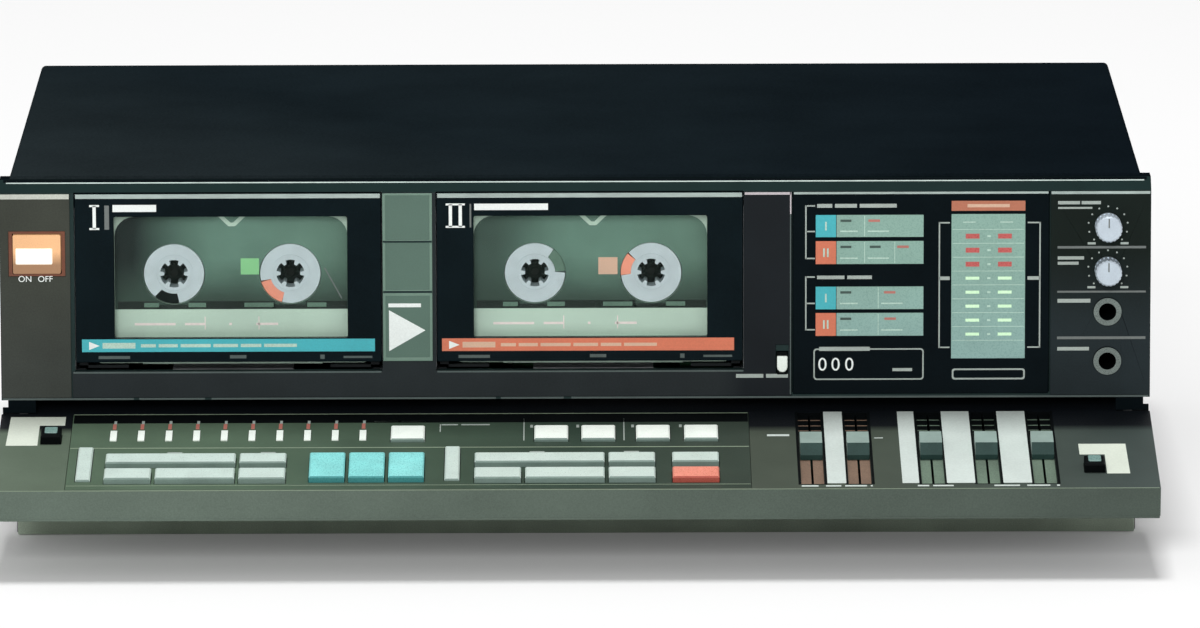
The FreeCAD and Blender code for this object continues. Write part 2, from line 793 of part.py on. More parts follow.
def make_drawer():
    """Tilted control drawer: slab with wells and slots, a narrower tail and two runner arms."""
    slab = block("-body_wide / 2", "0", "-drawer_thick", "body_wide", "drawer_long", "drawer_thick")
    tail = centred("0", "drawer_long", "-drawer_thick", "tail_wide", "tail_long", "drawer_thick - 0.4")
    arms = [
        block("tail_wide / 2 - arm_wide", "drawer_long + tail_long", "-drawer_thick", "arm_wide",
              "arm_long", "6"),
        block("-tail_wide / 2", "drawer_long + tail_long", "-drawer_thick", "arm_wide", "arm_long", "6"),
    ]
    seat = block("plate_left - slot_gap", "plate_near - slot_gap", "-plate_seat",
                 "plate_right - plate_left + 2 * slot_gap", "plate_far - plate_near + 2 * slot_gap", "5")
    well = block("plate_left + 2", "plate_near + 1.5", "-well_deep", "plate_right - plate_left - 4",
                 "plate_far - plate_near - 3", "12")
    tools = [seat, well]
    for n in range(1, 6):
        for wide, deep in (("slot_wide", "channel_deep"), ("slit_wide", "slot_deep")):
            tools.append(centred("fader_x%d" % n, "slot_near", "-" + deep, wide,
                                 "slot_far - slot_near", "12"))
    for n in (1, 2):
        tools.append(block("button_left%d - slot_gap" % n, "button_near%d - slot_gap" % n, "-well_deep",
                           "button_wide + 2 * slot_gap", "button_long + 2 * slot_gap", "12"))
    return node(on_drawer(cut(fuse([slab, tail] + arms), tools)), "control_drawer")


def make_key_plate():
    """Plate let into the drawer, with an opening for each key and lamp."""
    plate = block("plate_left", "plate_near", "-plate_seat", "plate_right - plate_left",
                  "plate_far - plate_near", "plate_seat")
    tools = []
    for name, left, near, wide, long, rise in key_layout():
        tools.append(block(left + " - fit_gap", near + " - fit_gap", "-5", wide + " + 2 * fit_gap",
                           long + " + 2 * fit_gap", "10"))
    for n in range(10):
        tools.append(centred("lamp_first + %d * lamp_pitch" % n, "lamp_near - slot_gap", "-5",
                             "lamp_wide + 2 * slot_gap", "lamp_long + 2 * slot_gap", "10"))
    return node(on_drawer(cut(plate, tools)), "key_plate")


def make_lamps():
    """Ten track lamps that stand in the key plate."""
    lamps = []
    for n in range(10):
        lamps.append(centred("lamp_first + %d * lamp_pitch" % n, "lamp_near", "-plate_seat - 1",
                             "lamp_wide", "lamp_long", "plate_seat + 1 + lamp_rise"))
    return node(on_drawer(group(lamps)), "track_lamps")


def make_fader(name, x):
    """Fader knob with a raised grip, running in its channel on a blade through the slit."""
    foot = centred(x, "fader_near", "fit_gap - channel_deep", "fader_wide", "fader_long",
                   "channel_deep - fit_gap + foot_rise")
    ridge = centred(x, "fader_near + nose_long", "0", "fader_wide", "fader_long - nose_long",
                    "fader_rise")
    blade = centred(x, "fader_near + nose_long", "0.5 - slot_deep", "blade_thick", "blade_long",
                    "slot_deep")
    nose = doc.addObject("Part::Wedge", "nose")
    for field, size in (("Xmin", "0"), ("Xmax", "fader_wide"), ("X2min", "0"), ("X2max", "fader_wide"),
                        ("Ymin", "0"), ("Ymax", "fader_rise - foot_rise"), ("Zmin", "0"),
                        ("Zmax", "nose_long"),
                        ("Z2min", "0"), ("Z2max", "0.1")):
        bind(nose, field, size)
    turn(nose, (1, 0, 0), "90")
    place(nose, x + " - fader_wide / 2", "fader_near + nose_long", "foot_rise")
    return node(on_drawer(fuse([foot, ridge, nose, blade])), name)


def make_power_button():
    """Rocker frame with its lit lens, sliding into the end panel."""
    frame = body("power")
    page = rectangle(sketch(frame, "XZ_Plane", "-front_y - button_back"), "power_x - power_wide / 2",
                     "power_z - power_tall / 2", "power_wide", "power_tall")
    solid = pad(frame, page, "button_back + power_proud")
    doc.recompute()
    front_y = solid.Shape.BoundBox.YMin
    rim = edges_where(solid.Shape, lambda spot: spot.y < front_y + 0.1)
    dress(frame, "Chamfer", solid, rim, "key_edge")
    return node(frame, "power_button")


def make_reset_button():
    """Counter reset button."""
    button = body("reset")
    page = rectangle(sketch(button, "XZ_Plane", "-front_y - button_back"), "reset_x - reset_wide / 2",
                     "reset_z - reset_tall / 2", "reset_wide", "reset_tall")
    solid = pad(button, page, "button_back + reset_proud")
    doc.recompute()
    front_y = solid.Shape.BoundBox.YMin
    rim = edges_where(solid.Shape, lambda spot: spot.y < front_y + 0.1)
    dress(button, "Chamfer", solid, rim, "key_edge")
    return node(button, "counter_reset_button")


def make_knob(name, z):
    """Ribbed rotary knob with its shaft through the end panel."""
    knob = body(name)
    pad(knob, circle(sketch(knob, lift="-shaft_long"), "0", "0", "shaft_radius"), "shaft_long + 1")
    cap = pad(knob, circle(sketch(knob, lift="knob_gap"), "0", "0", "knob_radius"),
              "knob_long - knob_gap")
    doc.recompute()
    dress(knob, "Chamfer", cap, [top_face(cap.Shape)], "knob_edge")
    doc.recompute()
    groove = pocket(knob, circle(sketch(knob, lift="knob_long + 1"), "0", "knob_radius + groove_radius / 2",
                                 "groove_radius"), "knob_long - 0.8")
    polar(knob, groove, 20)
    turn(knob, (1, 0, 0), "90")
    place(knob, "knob_x", "front_y", z)
    return node(knob, name)


def make_jacks():
    """Two jack sockets with their front rings."""
    sockets = []
    for z in ("jack_z1", "jack_z2"):
        ring = rod("knob_x", "front_y - ring_stand", z, "jack_ring", "ring_stand", "rear")
        barrel = rod("knob_x", "front_y - ring_stand", z, "jack_ring - ring_lip",
                     "jack_long + ring_stand", "rear")
        bore = rod("knob_x", "front_y - 2", z, "jack_bore", "jack_long", "rear")
        sockets.append(cut(fuse([ring, barrel]), [bore]))
    return node(group(sockets), "jack_sockets")


def make_line_sockets():
    """Rear block of pin sockets in two rows."""
    face_y = "back_y - case_gap"
    plate = block("lines_left", face_y, "floor_top + lines_low", "lines_wide", "flange_thick", "lines_tall")
    core = block("lines_left + 6", face_y + " - lines_deep", "floor_top + lines_low + 5", "lines_wide - 12",
                 "lines_deep", "lines_tall - 10")
    pieces = [plate, core]
    bores = []
    for n in range(4):
        for level in ("0", "1"):
            x = "lines_left + 14 + %d * plug_pitch" % n
            z = "floor_top + lines_low + 10.5 + plug_rise * " + level
            pieces.append(rod(x, face_y, z, "pin_plug", "socket_stand + case_gap", "rear"))
            bores.append(rod(x, face_y + " - 6", z, "plug_bore", "20", "rear"))
    return node(cut(fuse(pieces), bores), "line_sockets")


def make_mains_inlet():
    """Recessed two-pin mains inlet."""
    face_y = "back_y - case_gap"
    low = "floor_top + inlet_low"
    plate = block("inlet_left", face_y, low, "inlet_wide", "flange_thick", "inlet_tall")
    core = block("inlet_left + flange", face_y + " - 18", low + " + 5", "inlet_wide - 2 * flange", "18",
                 "inlet_tall - 10")
    recess = block("inlet_left + 7", face_y + " - 12", low + " + 9", "inlet_wide - 14", "20",
                   "inlet_tall - 18")
    middle = "inlet_left + inlet_wide / 2"
    pins = [rod(middle + side, face_y + " - 13", low + " + inlet_tall / 2", "inlet_pin", "10", "rear")
            for side in (" - flange", " + flange")]
    return node(fuse([cut(fuse([plate, core]), [recess])] + pins), "mains_inlet")


def make_feet():
    """Four feet under the corners of the pan."""
    foot = body("foot")
    page = rectangle(sketch(foot), "pan_wide / 2 - foot_wide", "front_y + pan_start + 1", "foot_wide",
                     "foot_long")
    solid = pad(foot, page, "foot_tall")
    doc.recompute()
    upright = [name for name in edges_where(solid.Shape, lambda spot: True)
               if abs(solid.Shape.getElement(name).tangentAt(0).z) > 0.9]
    dress(foot, "Fillet", solid, upright, "2")
    doc.recompute()
    far = doc.addObject("Part::Feature", "far_foot")
    far.Shape = foot.Shape
    bind(far, "Placement.Base.y", "body_deep - foot_long - pan_start - 8")
    return node(group([foot, mirrored(foot), far, mirrored(far)]), "feet")


def make_screws():
    """Case screws through the cover's sides."""
    screws = []
    for deep in SIDE_SCREW_DEEP:
        y = "front_y + " + deep
        edge = "case_wide / 2"
        head = rod(edge, y, SIDE_SCREW_Z, "screw_head", "1.8", "right")
        shank = rod(edge + " - 6", y, SIDE_SCREW_Z, "screw_shank", "7", "right")
        slot = block(edge + " + 1", y + " - 3", SIDE_SCREW_Z + " - 0.5", "2", "6", "1")
        cross = block(edge + " + 1", y + " - 0.5", SIDE_SCREW_Z + " - 3", "2", "1", "6")
        one = cut(fuse([head, shank]), [slot, cross])
        screws += [one, mirrored(one)]
    return node(group(screws), "case_screws")


def make_transformer():
    """Mains transformer on the pan's floor: laminated core and winding."""
    x = "core_x"
    start = "front_y + core_start"
    core = centred(x, start, "floor_top", "core_wide", "core_long", "core_tall")
    windows = [centred(x + " + %d * 20" % side, start + " - 1", "floor_top + core_leg", "10", "60",
                       "core_tall - 2 * core_leg") for side in (-1, 1)]
    winding = centred(x, start + " - 7", "floor_top + 13", "36", "core_long + 14", "core_tall - 26")
    return node(fuse([cut(core, windows), winding]), "power_transformer")


def make_boards():
    """Main board on its posts, and the display board behind the panel."""
    low = "floor_top + board_lift"
    main = block("board_left", "front_y + board_start", low, "board_wide", "board_long", "board_thick")
    tops = "floor_top + board_lift + board_thick"
    chips = [block("%d" % (-40 + 38 * n), "front_y + 118", tops, "20", "7", "3.5") for n in range(6)]
    cans = [rod("%d" % (-30 + 32 * n), "front_y + 190", tops, "6", "18") for n in range(4)]
    sink = block("110", "front_y + 180", tops, "40", "4", "24")
    display = block("display_left + display_edge", "front_y + skin_thick + display_room",
                    "display_low + display_edge", "display_wide - 2 * display_edge", "board_thick",
                    "display_tall - 2 * display_edge")
    posts = []
    for x in ("display_left + 7", "display_left + display_wide - 7"):
        for z in ("display_low + 7", "display_low + display_tall - 7"):
            posts.append(rod(x, "front_y + display_thick + fit_gap", z, "1.8",
                             "skin_thick + display_room - display_thick - fit_gap", "rear"))
    return node(group([fuse([main] + chips + cans + [sink]), fuse([display] + posts)]), "circuit_boards")


make_chassis()
make_cover()
make_fascia()
make_display()
for side, number in (("left", 1), ("right", 2)):
    door_x = "door_x%d" % number
    make_door(side + "_door", door_x)
    make_cassette(side + "_cassette", door_x)
    for role, sign in (("supply", "-"), ("take_up", "+")):
        reel_x = "%s + tape_shift %s hub_pitch / 2" % (door_x, sign)
        make_hub("%s_%s_hub" % (side, role), reel_x)
        make_spindle("%s_%s_spindle" % (side, role), reel_x)
make_transports()
make_drawer()
make_key_plate()
make_lamps()
for entry in key_layout():
    make_key(*entry)
for number in range(1, 6):
    make_fader("fader_%d" % number, "fader_x%d" % number)
for number, side in ((1, "left"), (2, "right")):
    make_key(side + "_drawer_button", "button_left%d" % number, "button_near%d" % number,
             "button_wide", "button_long", "button_rise")
make_power_button()
make_reset_button()
make_knob("upper_level_knob", "knob_z1")
make_knob("lower_level_knob", "knob_z2")
make_jacks()
make_line_sockets()
make_mains_inlet()
make_feet()
make_screws()
make_transformer()
make_boards()
doc.recompute()

for item in doc.Objects:
    if "Invalid" in item.State or "Error" in item.State:
        raise RuntimeError("%s (%s) did not compute" % (item.Name, item.Label))
for item in NODES:
    if item.Shape.isNull() or not item.Shape.isValid() or not item.Shape.Solids:
        raise RuntimeError("%s has no valid solid" % item.Label)

os.makedirs("parts", exist_ok=True)
for item in NODES:
    item.Shape.exportStep(os.path.join("parts", item.Label + ".step"))
print(len(NODES), "nodes written")
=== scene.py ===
import math

import bmesh
import bpy
from mathutils import Matrix, Vector

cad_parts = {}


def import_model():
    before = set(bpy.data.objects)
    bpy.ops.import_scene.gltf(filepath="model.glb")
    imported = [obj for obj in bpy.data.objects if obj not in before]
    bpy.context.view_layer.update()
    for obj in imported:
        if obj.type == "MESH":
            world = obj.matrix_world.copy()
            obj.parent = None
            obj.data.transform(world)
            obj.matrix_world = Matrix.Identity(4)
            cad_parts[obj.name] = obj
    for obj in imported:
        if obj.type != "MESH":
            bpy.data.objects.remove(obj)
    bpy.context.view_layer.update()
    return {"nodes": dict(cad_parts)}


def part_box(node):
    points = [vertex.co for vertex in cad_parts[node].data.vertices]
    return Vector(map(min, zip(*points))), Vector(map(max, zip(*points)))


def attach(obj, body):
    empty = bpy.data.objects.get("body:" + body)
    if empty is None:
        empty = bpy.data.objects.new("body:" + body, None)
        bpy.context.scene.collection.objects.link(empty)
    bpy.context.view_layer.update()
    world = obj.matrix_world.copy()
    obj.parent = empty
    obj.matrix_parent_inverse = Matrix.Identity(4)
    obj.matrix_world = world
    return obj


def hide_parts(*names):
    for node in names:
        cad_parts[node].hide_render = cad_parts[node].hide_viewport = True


# A double cassette deck with its control drawer pulled out. Shapes are drawn in millimetres on flat
# sheets: a runs across, b runs up the sheet and c comes out of it.
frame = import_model()

MM = 0.001
FRONT_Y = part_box("front_fascia")[0].y / MM
DRAWER_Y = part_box("control_drawer")[0].y / MM

# Height of the drawer's upper front edge, and the drawer's slope
DRAWER_LIP = 32.5
TILT = math.radians(9.6)

# How far the fascia's panels stand out, how thick a print and a painted edge highlight are, and how deep
# both are sunk
PROUD = 0.5
PRINT = 0.06
HIGHLIGHT_THICK = 0.05
SUNK = 0.03


def sheet(origin, across, up):
    """The place of a flat working sheet in the row frame, in millimetres."""
    across, up = Vector(across), Vector(up)
    turned = Matrix((across, up, across.cross(up))).transposed().to_4x4()
    return Matrix.Translation(origin) @ turned


FRONT = sheet((0, FRONT_Y, 0), (1, 0, 0), (0, 0, 1))
DRAWER = sheet((0, DRAWER_Y, DRAWER_LIP), (1, 0, 0), (0, math.cos(TILT), math.sin(TILT)))
BEVEL_FOOT = 127.5
BEVEL = sheet((0, FRONT_Y, BEVEL_FOOT), (1, 0, 0), (0, math.sqrt(0.5), math.sqrt(0.5)))


# Materials

def linear(colour):
    """A colour written from 0 to 255 as a viewer sees it, in linear light."""
    return [((part / 255 + 0.055) / 1.055) ** 2.4 if part > 10 else part / 3295 for part in colour]


def link(tree, start, end):
    tree.links.new(start, end)


def noise(tree, where, size, detail=3.0, stretch=None):
    """Noise with features of about one size in millimetres."""
    if stretch:
        mapping = tree.nodes.new("ShaderNodeMapping")
        mapping.inputs["Scale"].default_value = stretch
        link(tree, where, mapping.inputs["Vector"])
        where = mapping.outputs["Vector"]
    texture = tree.nodes.new("ShaderNodeTexNoise")
    texture.inputs["Scale"].default_value = 1 / (size * MM)
    texture.inputs["Detail"].default_value = detail
    link(tree, where, texture.inputs["Vector"])
    return texture.outputs["Fac"]


def ranged(tree, value, low, high, start=0.3, end=0.7):
    """Stretch a value from one range onto another."""
    reach = tree.nodes.new("ShaderNodeMapRange")
    for name, size in (("From Min", start), ("From Max", end), ("To Min", low), ("To Max", high)):
        reach.inputs[name].default_value = size
    link(tree, value, reach.inputs["Value"])
    return reach.outputs["Result"]


def along(tree, where, direction):
    """How far a point lies along a direction, in metres."""
    dot = tree.nodes.new("ShaderNodeVectorMath")
    dot.operation = "DOT_PRODUCT"
    link(tree, where, dot.inputs[0])
    dot.inputs[1].default_value = direction
    return dot.outputs["Value"]


def feed(tree, tone, socket):
    """Give a socket a tone, which is a socket itself or a plain colour."""
    if isinstance(tone, list):
        socket.default_value = tone + [1.0] * (len(socket.default_value) - 3)
    else:
        link(tree, tone, socket)


def mixed(tree, factor, first, second):
    """Mix two tones."""
    mix = tree.nodes.new("ShaderNodeMix")
    mix.data_type = "RGBA"
    link(tree, factor, mix.inputs[0])
    feed(tree, first, mix.inputs[6])
    feed(tree, second, mix.inputs[7])
    return mix.outputs[2]


def faded(tree, where, tone, fades):
    """A tone with its fades, each a second colour, a direction, and where along it the fade runs."""
    for second, direction, start, end in fades:
        step = ranged(tree, along(tree, where, direction), 0.0, 1.0, start * MM, end * MM)
        tone = mixed(tree, step, tone, linear(second))
    return tone


def scaled(tree, tone, amount):
    """A tone made brighter or darker."""
    scale = tree.nodes.new("ShaderNodeVectorMath")
    scale.operation = "SCALE"
    feed(tree, tone, scale.inputs[0])
    link(tree, amount, scale.inputs["Scale"])
    return scale.outputs["Vector"]


ROUGH_VARY = 0.07


def finish(name, colour, rough=0.45, vary=0.10, patch=22.0, grain=0.45, relief=0.006, fades=(),
           stretch=None, **sockets):
    """A surface with patchy colour, and with fine grain in its tone, roughness and relief."""
    material = bpy.data.materials.new(name)
    material.use_nodes = True
    tree = material.node_tree
    shader = tree.nodes["Principled BSDF"]
    where = tree.nodes.new("ShaderNodeTexCoord").outputs["Object"]
    broad = noise(tree, where, patch)
    fine = noise(tree, where, grain, stretch=stretch)
    both = tree.nodes.new("ShaderNodeMath")
    both.operation = "ADD"
    link(tree, ranged(tree, broad, 1 - vary, 1 + vary), both.inputs[0])
    link(tree, ranged(tree, fine, -vary, vary), both.inputs[1])
    tone = scaled(tree, faded(tree, where, linear(colour), fades), both.outputs[0])
    link(tree, tone, shader.inputs["Base Color"])
    link(tree, ranged(tree, fine, rough - ROUGH_VARY, rough + ROUGH_VARY), shader.inputs["Roughness"])
    if relief:
        bump = tree.nodes.new("ShaderNodeBump")
        bump.inputs["Distance"].default_value = relief * MM
        link(tree, fine, bump.inputs["Height"])
        link(tree, bump.outputs["Normal"], shader.inputs["Normal"])
    for socket, size in sockets.items():
        shader.inputs[socket.replace("_", " ")].default_value = size
    return material


def glowing(name, colour, strength, rough=0.3, relief=0.003, **more):
    """A lit surface: its own colour plus a little light of the same colour."""
    return finish(name, colour, rough=rough, relief=relief, Emission_Color=linear(colour) + [1.0],
                  Emission_Strength=strength, **more)


def ink(name, colour, rough=0.4, vary=0.06, **more):
    """A thin printed colour."""
    return finish(name, colour, rough=rough, vary=vary, relief=0.004, **more)


def moulded(name, colour, vary=0.10, rough=0.55, relief=0.02, **more):
    """Dull, finely textured plastic."""
    return finish(name, colour, rough=rough, vary=vary, grain=0.6, relief=relief, **DULL, **more)


def metal(name, colour, vary=0.08, rough=0.35, share=0.3, **more):
    """Plated or painted metal, with its share of metal in its shine."""
    return finish(name, colour, rough=rough, vary=vary, relief=0.004, Metallic=share, **more)


ACROSS = (1, 0, 0)
UPHILL = (0, math.cos(TILT), math.sin(TILT))
RISING = (0, 0, 1)
DARK_EDGE = ((12, 16, 20), UPHILL, -99.5, -94.0)
DULL = {"Specular_IOR_Level": 0.1}
DEEP = {"Specular_IOR_Level": 0.03}

# Painted light: the cover's paint lightens towards its front left and darkens towards its right, where less
# light falls.
COVER = finish("cover_paint", (21, 29, 33), rough=0.62, vary=0.16, patch=60.0, grain=0.9, relief=0.02,
               fades=[((37, 44, 46), (-0.8, -0.6, 0), 40, 260), ((14, 21, 26), ACROSS, 0, 200)],
               Specular_IOR_Level=0.0)
CHASSIS = finish("pan_paint", (44, 46, 48), rough=0.5, relief=0.02, **DULL)
# Painted light: the skirt is painted pale to stand in for light that the drawer's shade keeps off it.
SKIRT = finish("base_paint_lightened", (172, 186, 168), rough=0.6, vary=0.14, relief=0.02, **DULL)
BROW = finish("brow_plastic", (33, 50, 49), rough=0.5, relief=0.015, **DULL)
# Painted shade: a darker copy of the brow plastic for the brow's sloping face.
BROW_SLOPE_SHADE = finish("brow_slope_shade", (24, 41, 40), rough=0.55, relief=0.015, **DEEP)
SHADE = finish("shade_paint", (12, 18, 21), rough=0.6, vary=0.14, relief=0.015, Specular_IOR_Level=0.0)
END_LEFT = moulded("left_end_plastic", (63, 66, 59), fades=[((60, 64, 60), (0, 0, -1), -100, -60)])
LOWER = moulded("lower_plastic", (37, 43, 45), rough=0.5, vary=0.12, relief=0.015,
                fades=[((22, 27, 31), ACROSS, 52, 62)])
# Painted shade: the right end panel darkens towards its top.
END_RIGHT = moulded("right_end_plastic", (33, 42, 45), vary=0.14, fades=[((15, 25, 21), RISING, 75, 105)])
GREEN = finish("green_plastic", (78, 106, 93), rough=0.5, vary=0.07, relief=0.012)
GREEN_EDGE = finish("green_edge_plastic", (106, 134, 119), vary=0.06, relief=0.008)
LID = finish("lid_paint", (13, 24, 28), rough=0.18, vary=0.16, relief=0.002, **DEEP)
PANEL = finish("panel_acrylic", (8, 17, 21), rough=0.14, vary=0.16, relief=0.002, **DEEP)
PANE = finish("clear_pane", (150, 180, 170), rough=0.06, vary=0.05, relief=0.0, Alpha=0.015, **DULL)
HOLDER = finish("holder_plastic", (28, 32, 34), relief=0.01, **DULL)
# Painted highlights along the edges of the fascia, its panels and the lids, drawn as thin strips of pale
# metal.
EDGE_HIGHLIGHT = metal("edge_highlight_metal", (164, 178, 173), vary=0.10, stretch=(0.1, 1, 1))
BRIGHT_EDGE_HIGHLIGHT = metal("edge_highlight_bright", (192, 196, 186))
DIM_EDGE_HIGHLIGHT = metal("edge_highlight_dim", (74, 86, 84), rough=0.4, vary=0.10)
WARM_EDGE_HIGHLIGHT = metal("edge_highlight_warm", (192, 184, 188), vary=0.06)
SHELL = finish("shell_plastic", (187, 213, 195), rough=0.35, vary=0.06)
# Dark film print, also used as painted shadow under the hubs.
BAND_AND_SHADOW = ink("band_film_and_shadow", (30, 38, 34), vary=0.15, **DULL)
PATCH = ink("patch_film", (98, 126, 110), vary=0.12, **DULL)
HUB = finish("hub_plastic", (188, 203, 206), rough=0.35, vary=0.05, patch=5.0)
SPINDLE = finish("spindle_plastic", (9, 7, 6), rough=0.4, vary=0.2, **DEEP)
# Near-black plastic, also laid as painted shade in the drawer's rear corners.
GLOOM = finish("dark_plastic_and_shade", (9, 12, 13), rough=0.5, vary=0.2, **DEEP)
WHITE = ink("white_ink", (240, 245, 242), rough=0.5, vary=0.05, grain=0.6)
PALE = ink("pale_ink", (164, 174, 168), rough=0.5, vary=0.08, grain=0.6)
GREY = ink("grey_ink", (104, 110, 108), rough=0.5, vary=0.08, grain=0.6)
FAINT = ink("faint_ink", (236, 226, 220), rough=0.5, vary=0.08, grain=0.6)
BLUE = ink("blue_ink", (60, 178, 188))
ORANGE = ink("orange_ink", (214, 116, 84))
RUST = ink("rust_ink", (180, 108, 80))
PEACH = ink("peach_ink", (214, 176, 150))
CLIP = ink("clip_plastic", (238, 150, 122), vary=0.08)
LIME = ink("lime_ink", (132, 202, 138))
SMALL_RED = ink("small_red_ink", (184, 112, 100))
MINT = finish("mint_screen", (135, 171, 158), rough=0.3, vary=0.05, patch=12.0, relief=0.003,
              fades=[((138, 174, 168), (0, 0, -1), -100, -66)])
# Mint lines with a faint glow: the display's lit lines, and painted light on the left lid strip's printed
# words.
MINT_LINE = glowing("mint_line", (176, 204, 190), 0.1)
MINT_DARK = finish("dark_line", (52, 76, 68), rough=0.4, relief=0.003)
LIT = glowing("lit_bar", (200, 236, 196), 0.25)
LIT_RED = glowing("lit_red", (184, 82, 78), 0.1)
LENS = glowing("lens_plastic", (250, 246, 232), 0.35, rough=0.25, vary=0.03)
AMBER = glowing("amber_plastic", (232, 178, 128), 0.18, rough=0.35, vary=0.08, relief=0.006,
                fades=[((134, 98, 70), (0, 0, -1), -106, -101)])
# Painted shadow in the rim of the power button's hole.
AMBER_RIM_SHADOW = finish("amber_rim_shadow", (112, 58, 30), vary=0.12)
# Painted light: the drawer's plastic, its front and its key plate darken towards the right, away from the
# light, and the front is a slightly lighter copy. Separately, the drawer's top turns near black towards its
# rear.
DECK = moulded("drawer_plastic", (90, 104, 89), patch=30.0,
               fades=[((70, 78, 68), ACROSS, -150, 60), ((60, 70, 67), ACROSS, 100, 200), DARK_EDGE])
SLAB = moulded("drawer_front_plastic", (96, 109, 99), patch=34.0, fades=[((74, 84, 77), ACROSS, -150, 190)])
PLATE = moulded("key_plate_plastic", (81, 100, 82), rough=0.5, patch=26.0, relief=0.015,
                fades=[((46, 62, 52), ACROSS, -140, 0), ((56, 66, 58), ACROSS, 0, 70)])
# Line ink for the key plate's rules, also used as the painted highlight along the drawer's front edge.
LINE = ink("line_ink_and_highlight", (134, 150, 128), rough=0.5, vary=0.10)
# Painted shade: each key plastic has a darker copy for the faces that look forward.
KEY = finish("key_plastic", (203, 220, 212), rough=0.32, vary=0.05, patch=8.0, relief=0.005)
KEY_FRONT_SHADE = finish("key_front_shade", (122, 142, 134), rough=0.35, vary=0.08, patch=8.0, relief=0.005)
# Painted light: white key plastic with a little glow of its own, to keep the rear keys and the reset cap
# bright; the track lamps share it.
PAINTED_GLOW_KEY = glowing("rear_key_painted_glow", (238, 246, 238), 0.1, rough=0.32, vary=0.05, patch=8.0,
                   relief=0.005)
TURQUOISE = finish("turquoise_plastic", (140, 222, 220), rough=0.3, patch=8.0, relief=0.005)
TURQUOISE_FRONT_SHADE = finish("turquoise_front_shade", (64, 140, 140), rough=0.3, vary=0.06, relief=0.005)
RECORD = finish("record_plastic", (238, 146, 126), rough=0.3, vary=0.05, patch=8.0, relief=0.005)
RECORD_FRONT_SHADE = finish("record_front_shade", (176, 84, 70), rough=0.3, vary=0.05, relief=0.005)
CREAM = ink("cream_ink", (218, 226, 212), rough=0.5, vary=0.05, grain=0.7)
STRIPE = finish("stripe_ink", (203, 213, 208), rough=0.5, vary=0.06, grain=0.8)
# Painted shade: the fader plastic has a darker copy for the faces that look forward.
GRIP = finish("fader_plastic", (146, 166, 159), rough=0.35, vary=0.08, patch=6.0)
GRIP_FRONT_SHADE = finish("fader_front", (40, 62, 58), vary=0.12, patch=6.0, **DULL)
BROWN = finish("brown_felt", (116, 93, 76), rough=0.8, vary=0.26, grain=0.6, relief=0.03)
OLIVE = finish("olive_felt", (93, 112, 96), rough=0.8, vary=0.24, grain=0.6, relief=0.03)
# Painted highlight: pale tops laid on the drawer's two black buttons.
BUTTON_HIGHLIGHT = finish("button_top_highlight", (118, 150, 144), rough=0.3, patch=4.0, relief=0.004)
KNOB = finish("knob_metal", (192, 204, 214), rough=0.35, vary=0.06, patch=6.0, Metallic=0.35)
RING = metal("ring_metal", (108, 118, 114), rough=0.3, vary=0.10, patch=4.0, share=0.6)
STEEL = metal("plate_steel", (150, 152, 154), share=0.9, stretch=(0.08, 1, 1))
COPPER = finish("core_steel", (120, 108, 92), vary=0.16, relief=0.01, Metallic=0.5,
                stretch=(0.1, 1, 1))
BOARD = finish("board_resin", (52, 104, 66), rough=0.4, vary=0.14, patch=9.0)
SCREW = metal("screw_steel", (52, 54, 56), vary=0.10, patch=3.0, share=0.7)
RUBBER = finish("foot_rubber", (24, 25, 26), rough=0.85, vary=0.16, relief=0.02, **DULL)


# Mesh tools

def solid(bm, outline, c0, c1, holes=()):
    """A flat-topped solid between two heights, from its outline and any holes."""
    levels = ([], [])
    for loop in [outline, *holes]:
        low = [bm.verts.new((a, b, c0)) for a, b in loop]
        high = [bm.verts.new((a, b, c1)) for a, b in loop]
        for n in range(len(loop)):
            after = (n + 1) % len(loop)
            bm.faces.new((low[n], low[after], high[after], high[n]))
            levels[0].append(bm.edges.get((low[n], low[after])))
            levels[1].append(bm.edges.get((high[n], high[after])))
        if not holes:
            bm.faces.new(low)
            bm.faces.new(high)
    if holes:
        for edges in levels:
            bmesh.ops.triangle_fill(bm, use_beauty=True, edges=edges)
    return bm


def box(a0, a1, b0, b1):
    return [(a0, b0), (a1, b0), (a1, b1), (a0, b1)]


def arc(a, b, radius, start, end, steps=6):
    """Points on an arc, with its angles in degrees."""
    angles = [math.radians(start + (end - start) * n / steps) for n in range(steps + 1)]
    return [(a + radius * math.cos(angle), b + radius * math.sin(angle)) for angle in angles]


def rounded(a0, a1, b0, b1, radius):
    """A rectangle with round corners."""
    corners = ((a1 - radius, b1 - radius, 0), (a0 + radius, b1 - radius, 90),
               (a0 + radius, b0 + radius, 180), (a1 - radius, b0 + radius, 270))
    return [point for a, b, start in corners for point in arc(a, b, radius, start, start + 90, 5)]


def grown(edges, by):
    """Four edges, as a0, a1, b0 and b1, moved out, or moved in by an amount below nought."""
    a0, a1, b0, b1 = edges
    return a0 - by, a1 + by, b0 - by, b1 + by


def ring(a, b, radius, count=64):
    turns = [2 * math.pi * n / count for n in range(count)]
    return [(a + radius * math.cos(turn), b + radius * math.sin(turn)) for turn in turns]


def piece(name, bm, material, body="case", place=FRONT, edge=0.0, steps=2, slot=None, stands_for=()):
    """Make a named piece on a body from a mesh drawn on a sheet."""
    bmesh.ops.recalc_face_normals(bm, faces=bm.faces)
    bm.transform(Matrix.Scale(MM, 4) @ place)
    mesh = bpy.data.meshes.new(name)
    bm.to_mesh(mesh)
    bm.free()
    mesh.materials.append(material)
    mesh.shade_smooth()
    mesh.set_sharp_from_angle(angle=math.radians(30))
    thing = bpy.data.objects.new(name, mesh)
    bpy.context.scene.collection.objects.link(thing)
    if edge:
        bevel = thing.modifiers.new("edge", "BEVEL")
        bevel.width = edge * MM
        bevel.segments = steps
        bevel.limit_method = "ANGLE"
        bevel.angle_limit = math.radians(40)
    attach(thing, body)
    if stands_for:
        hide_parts(*stands_for)
    return thing


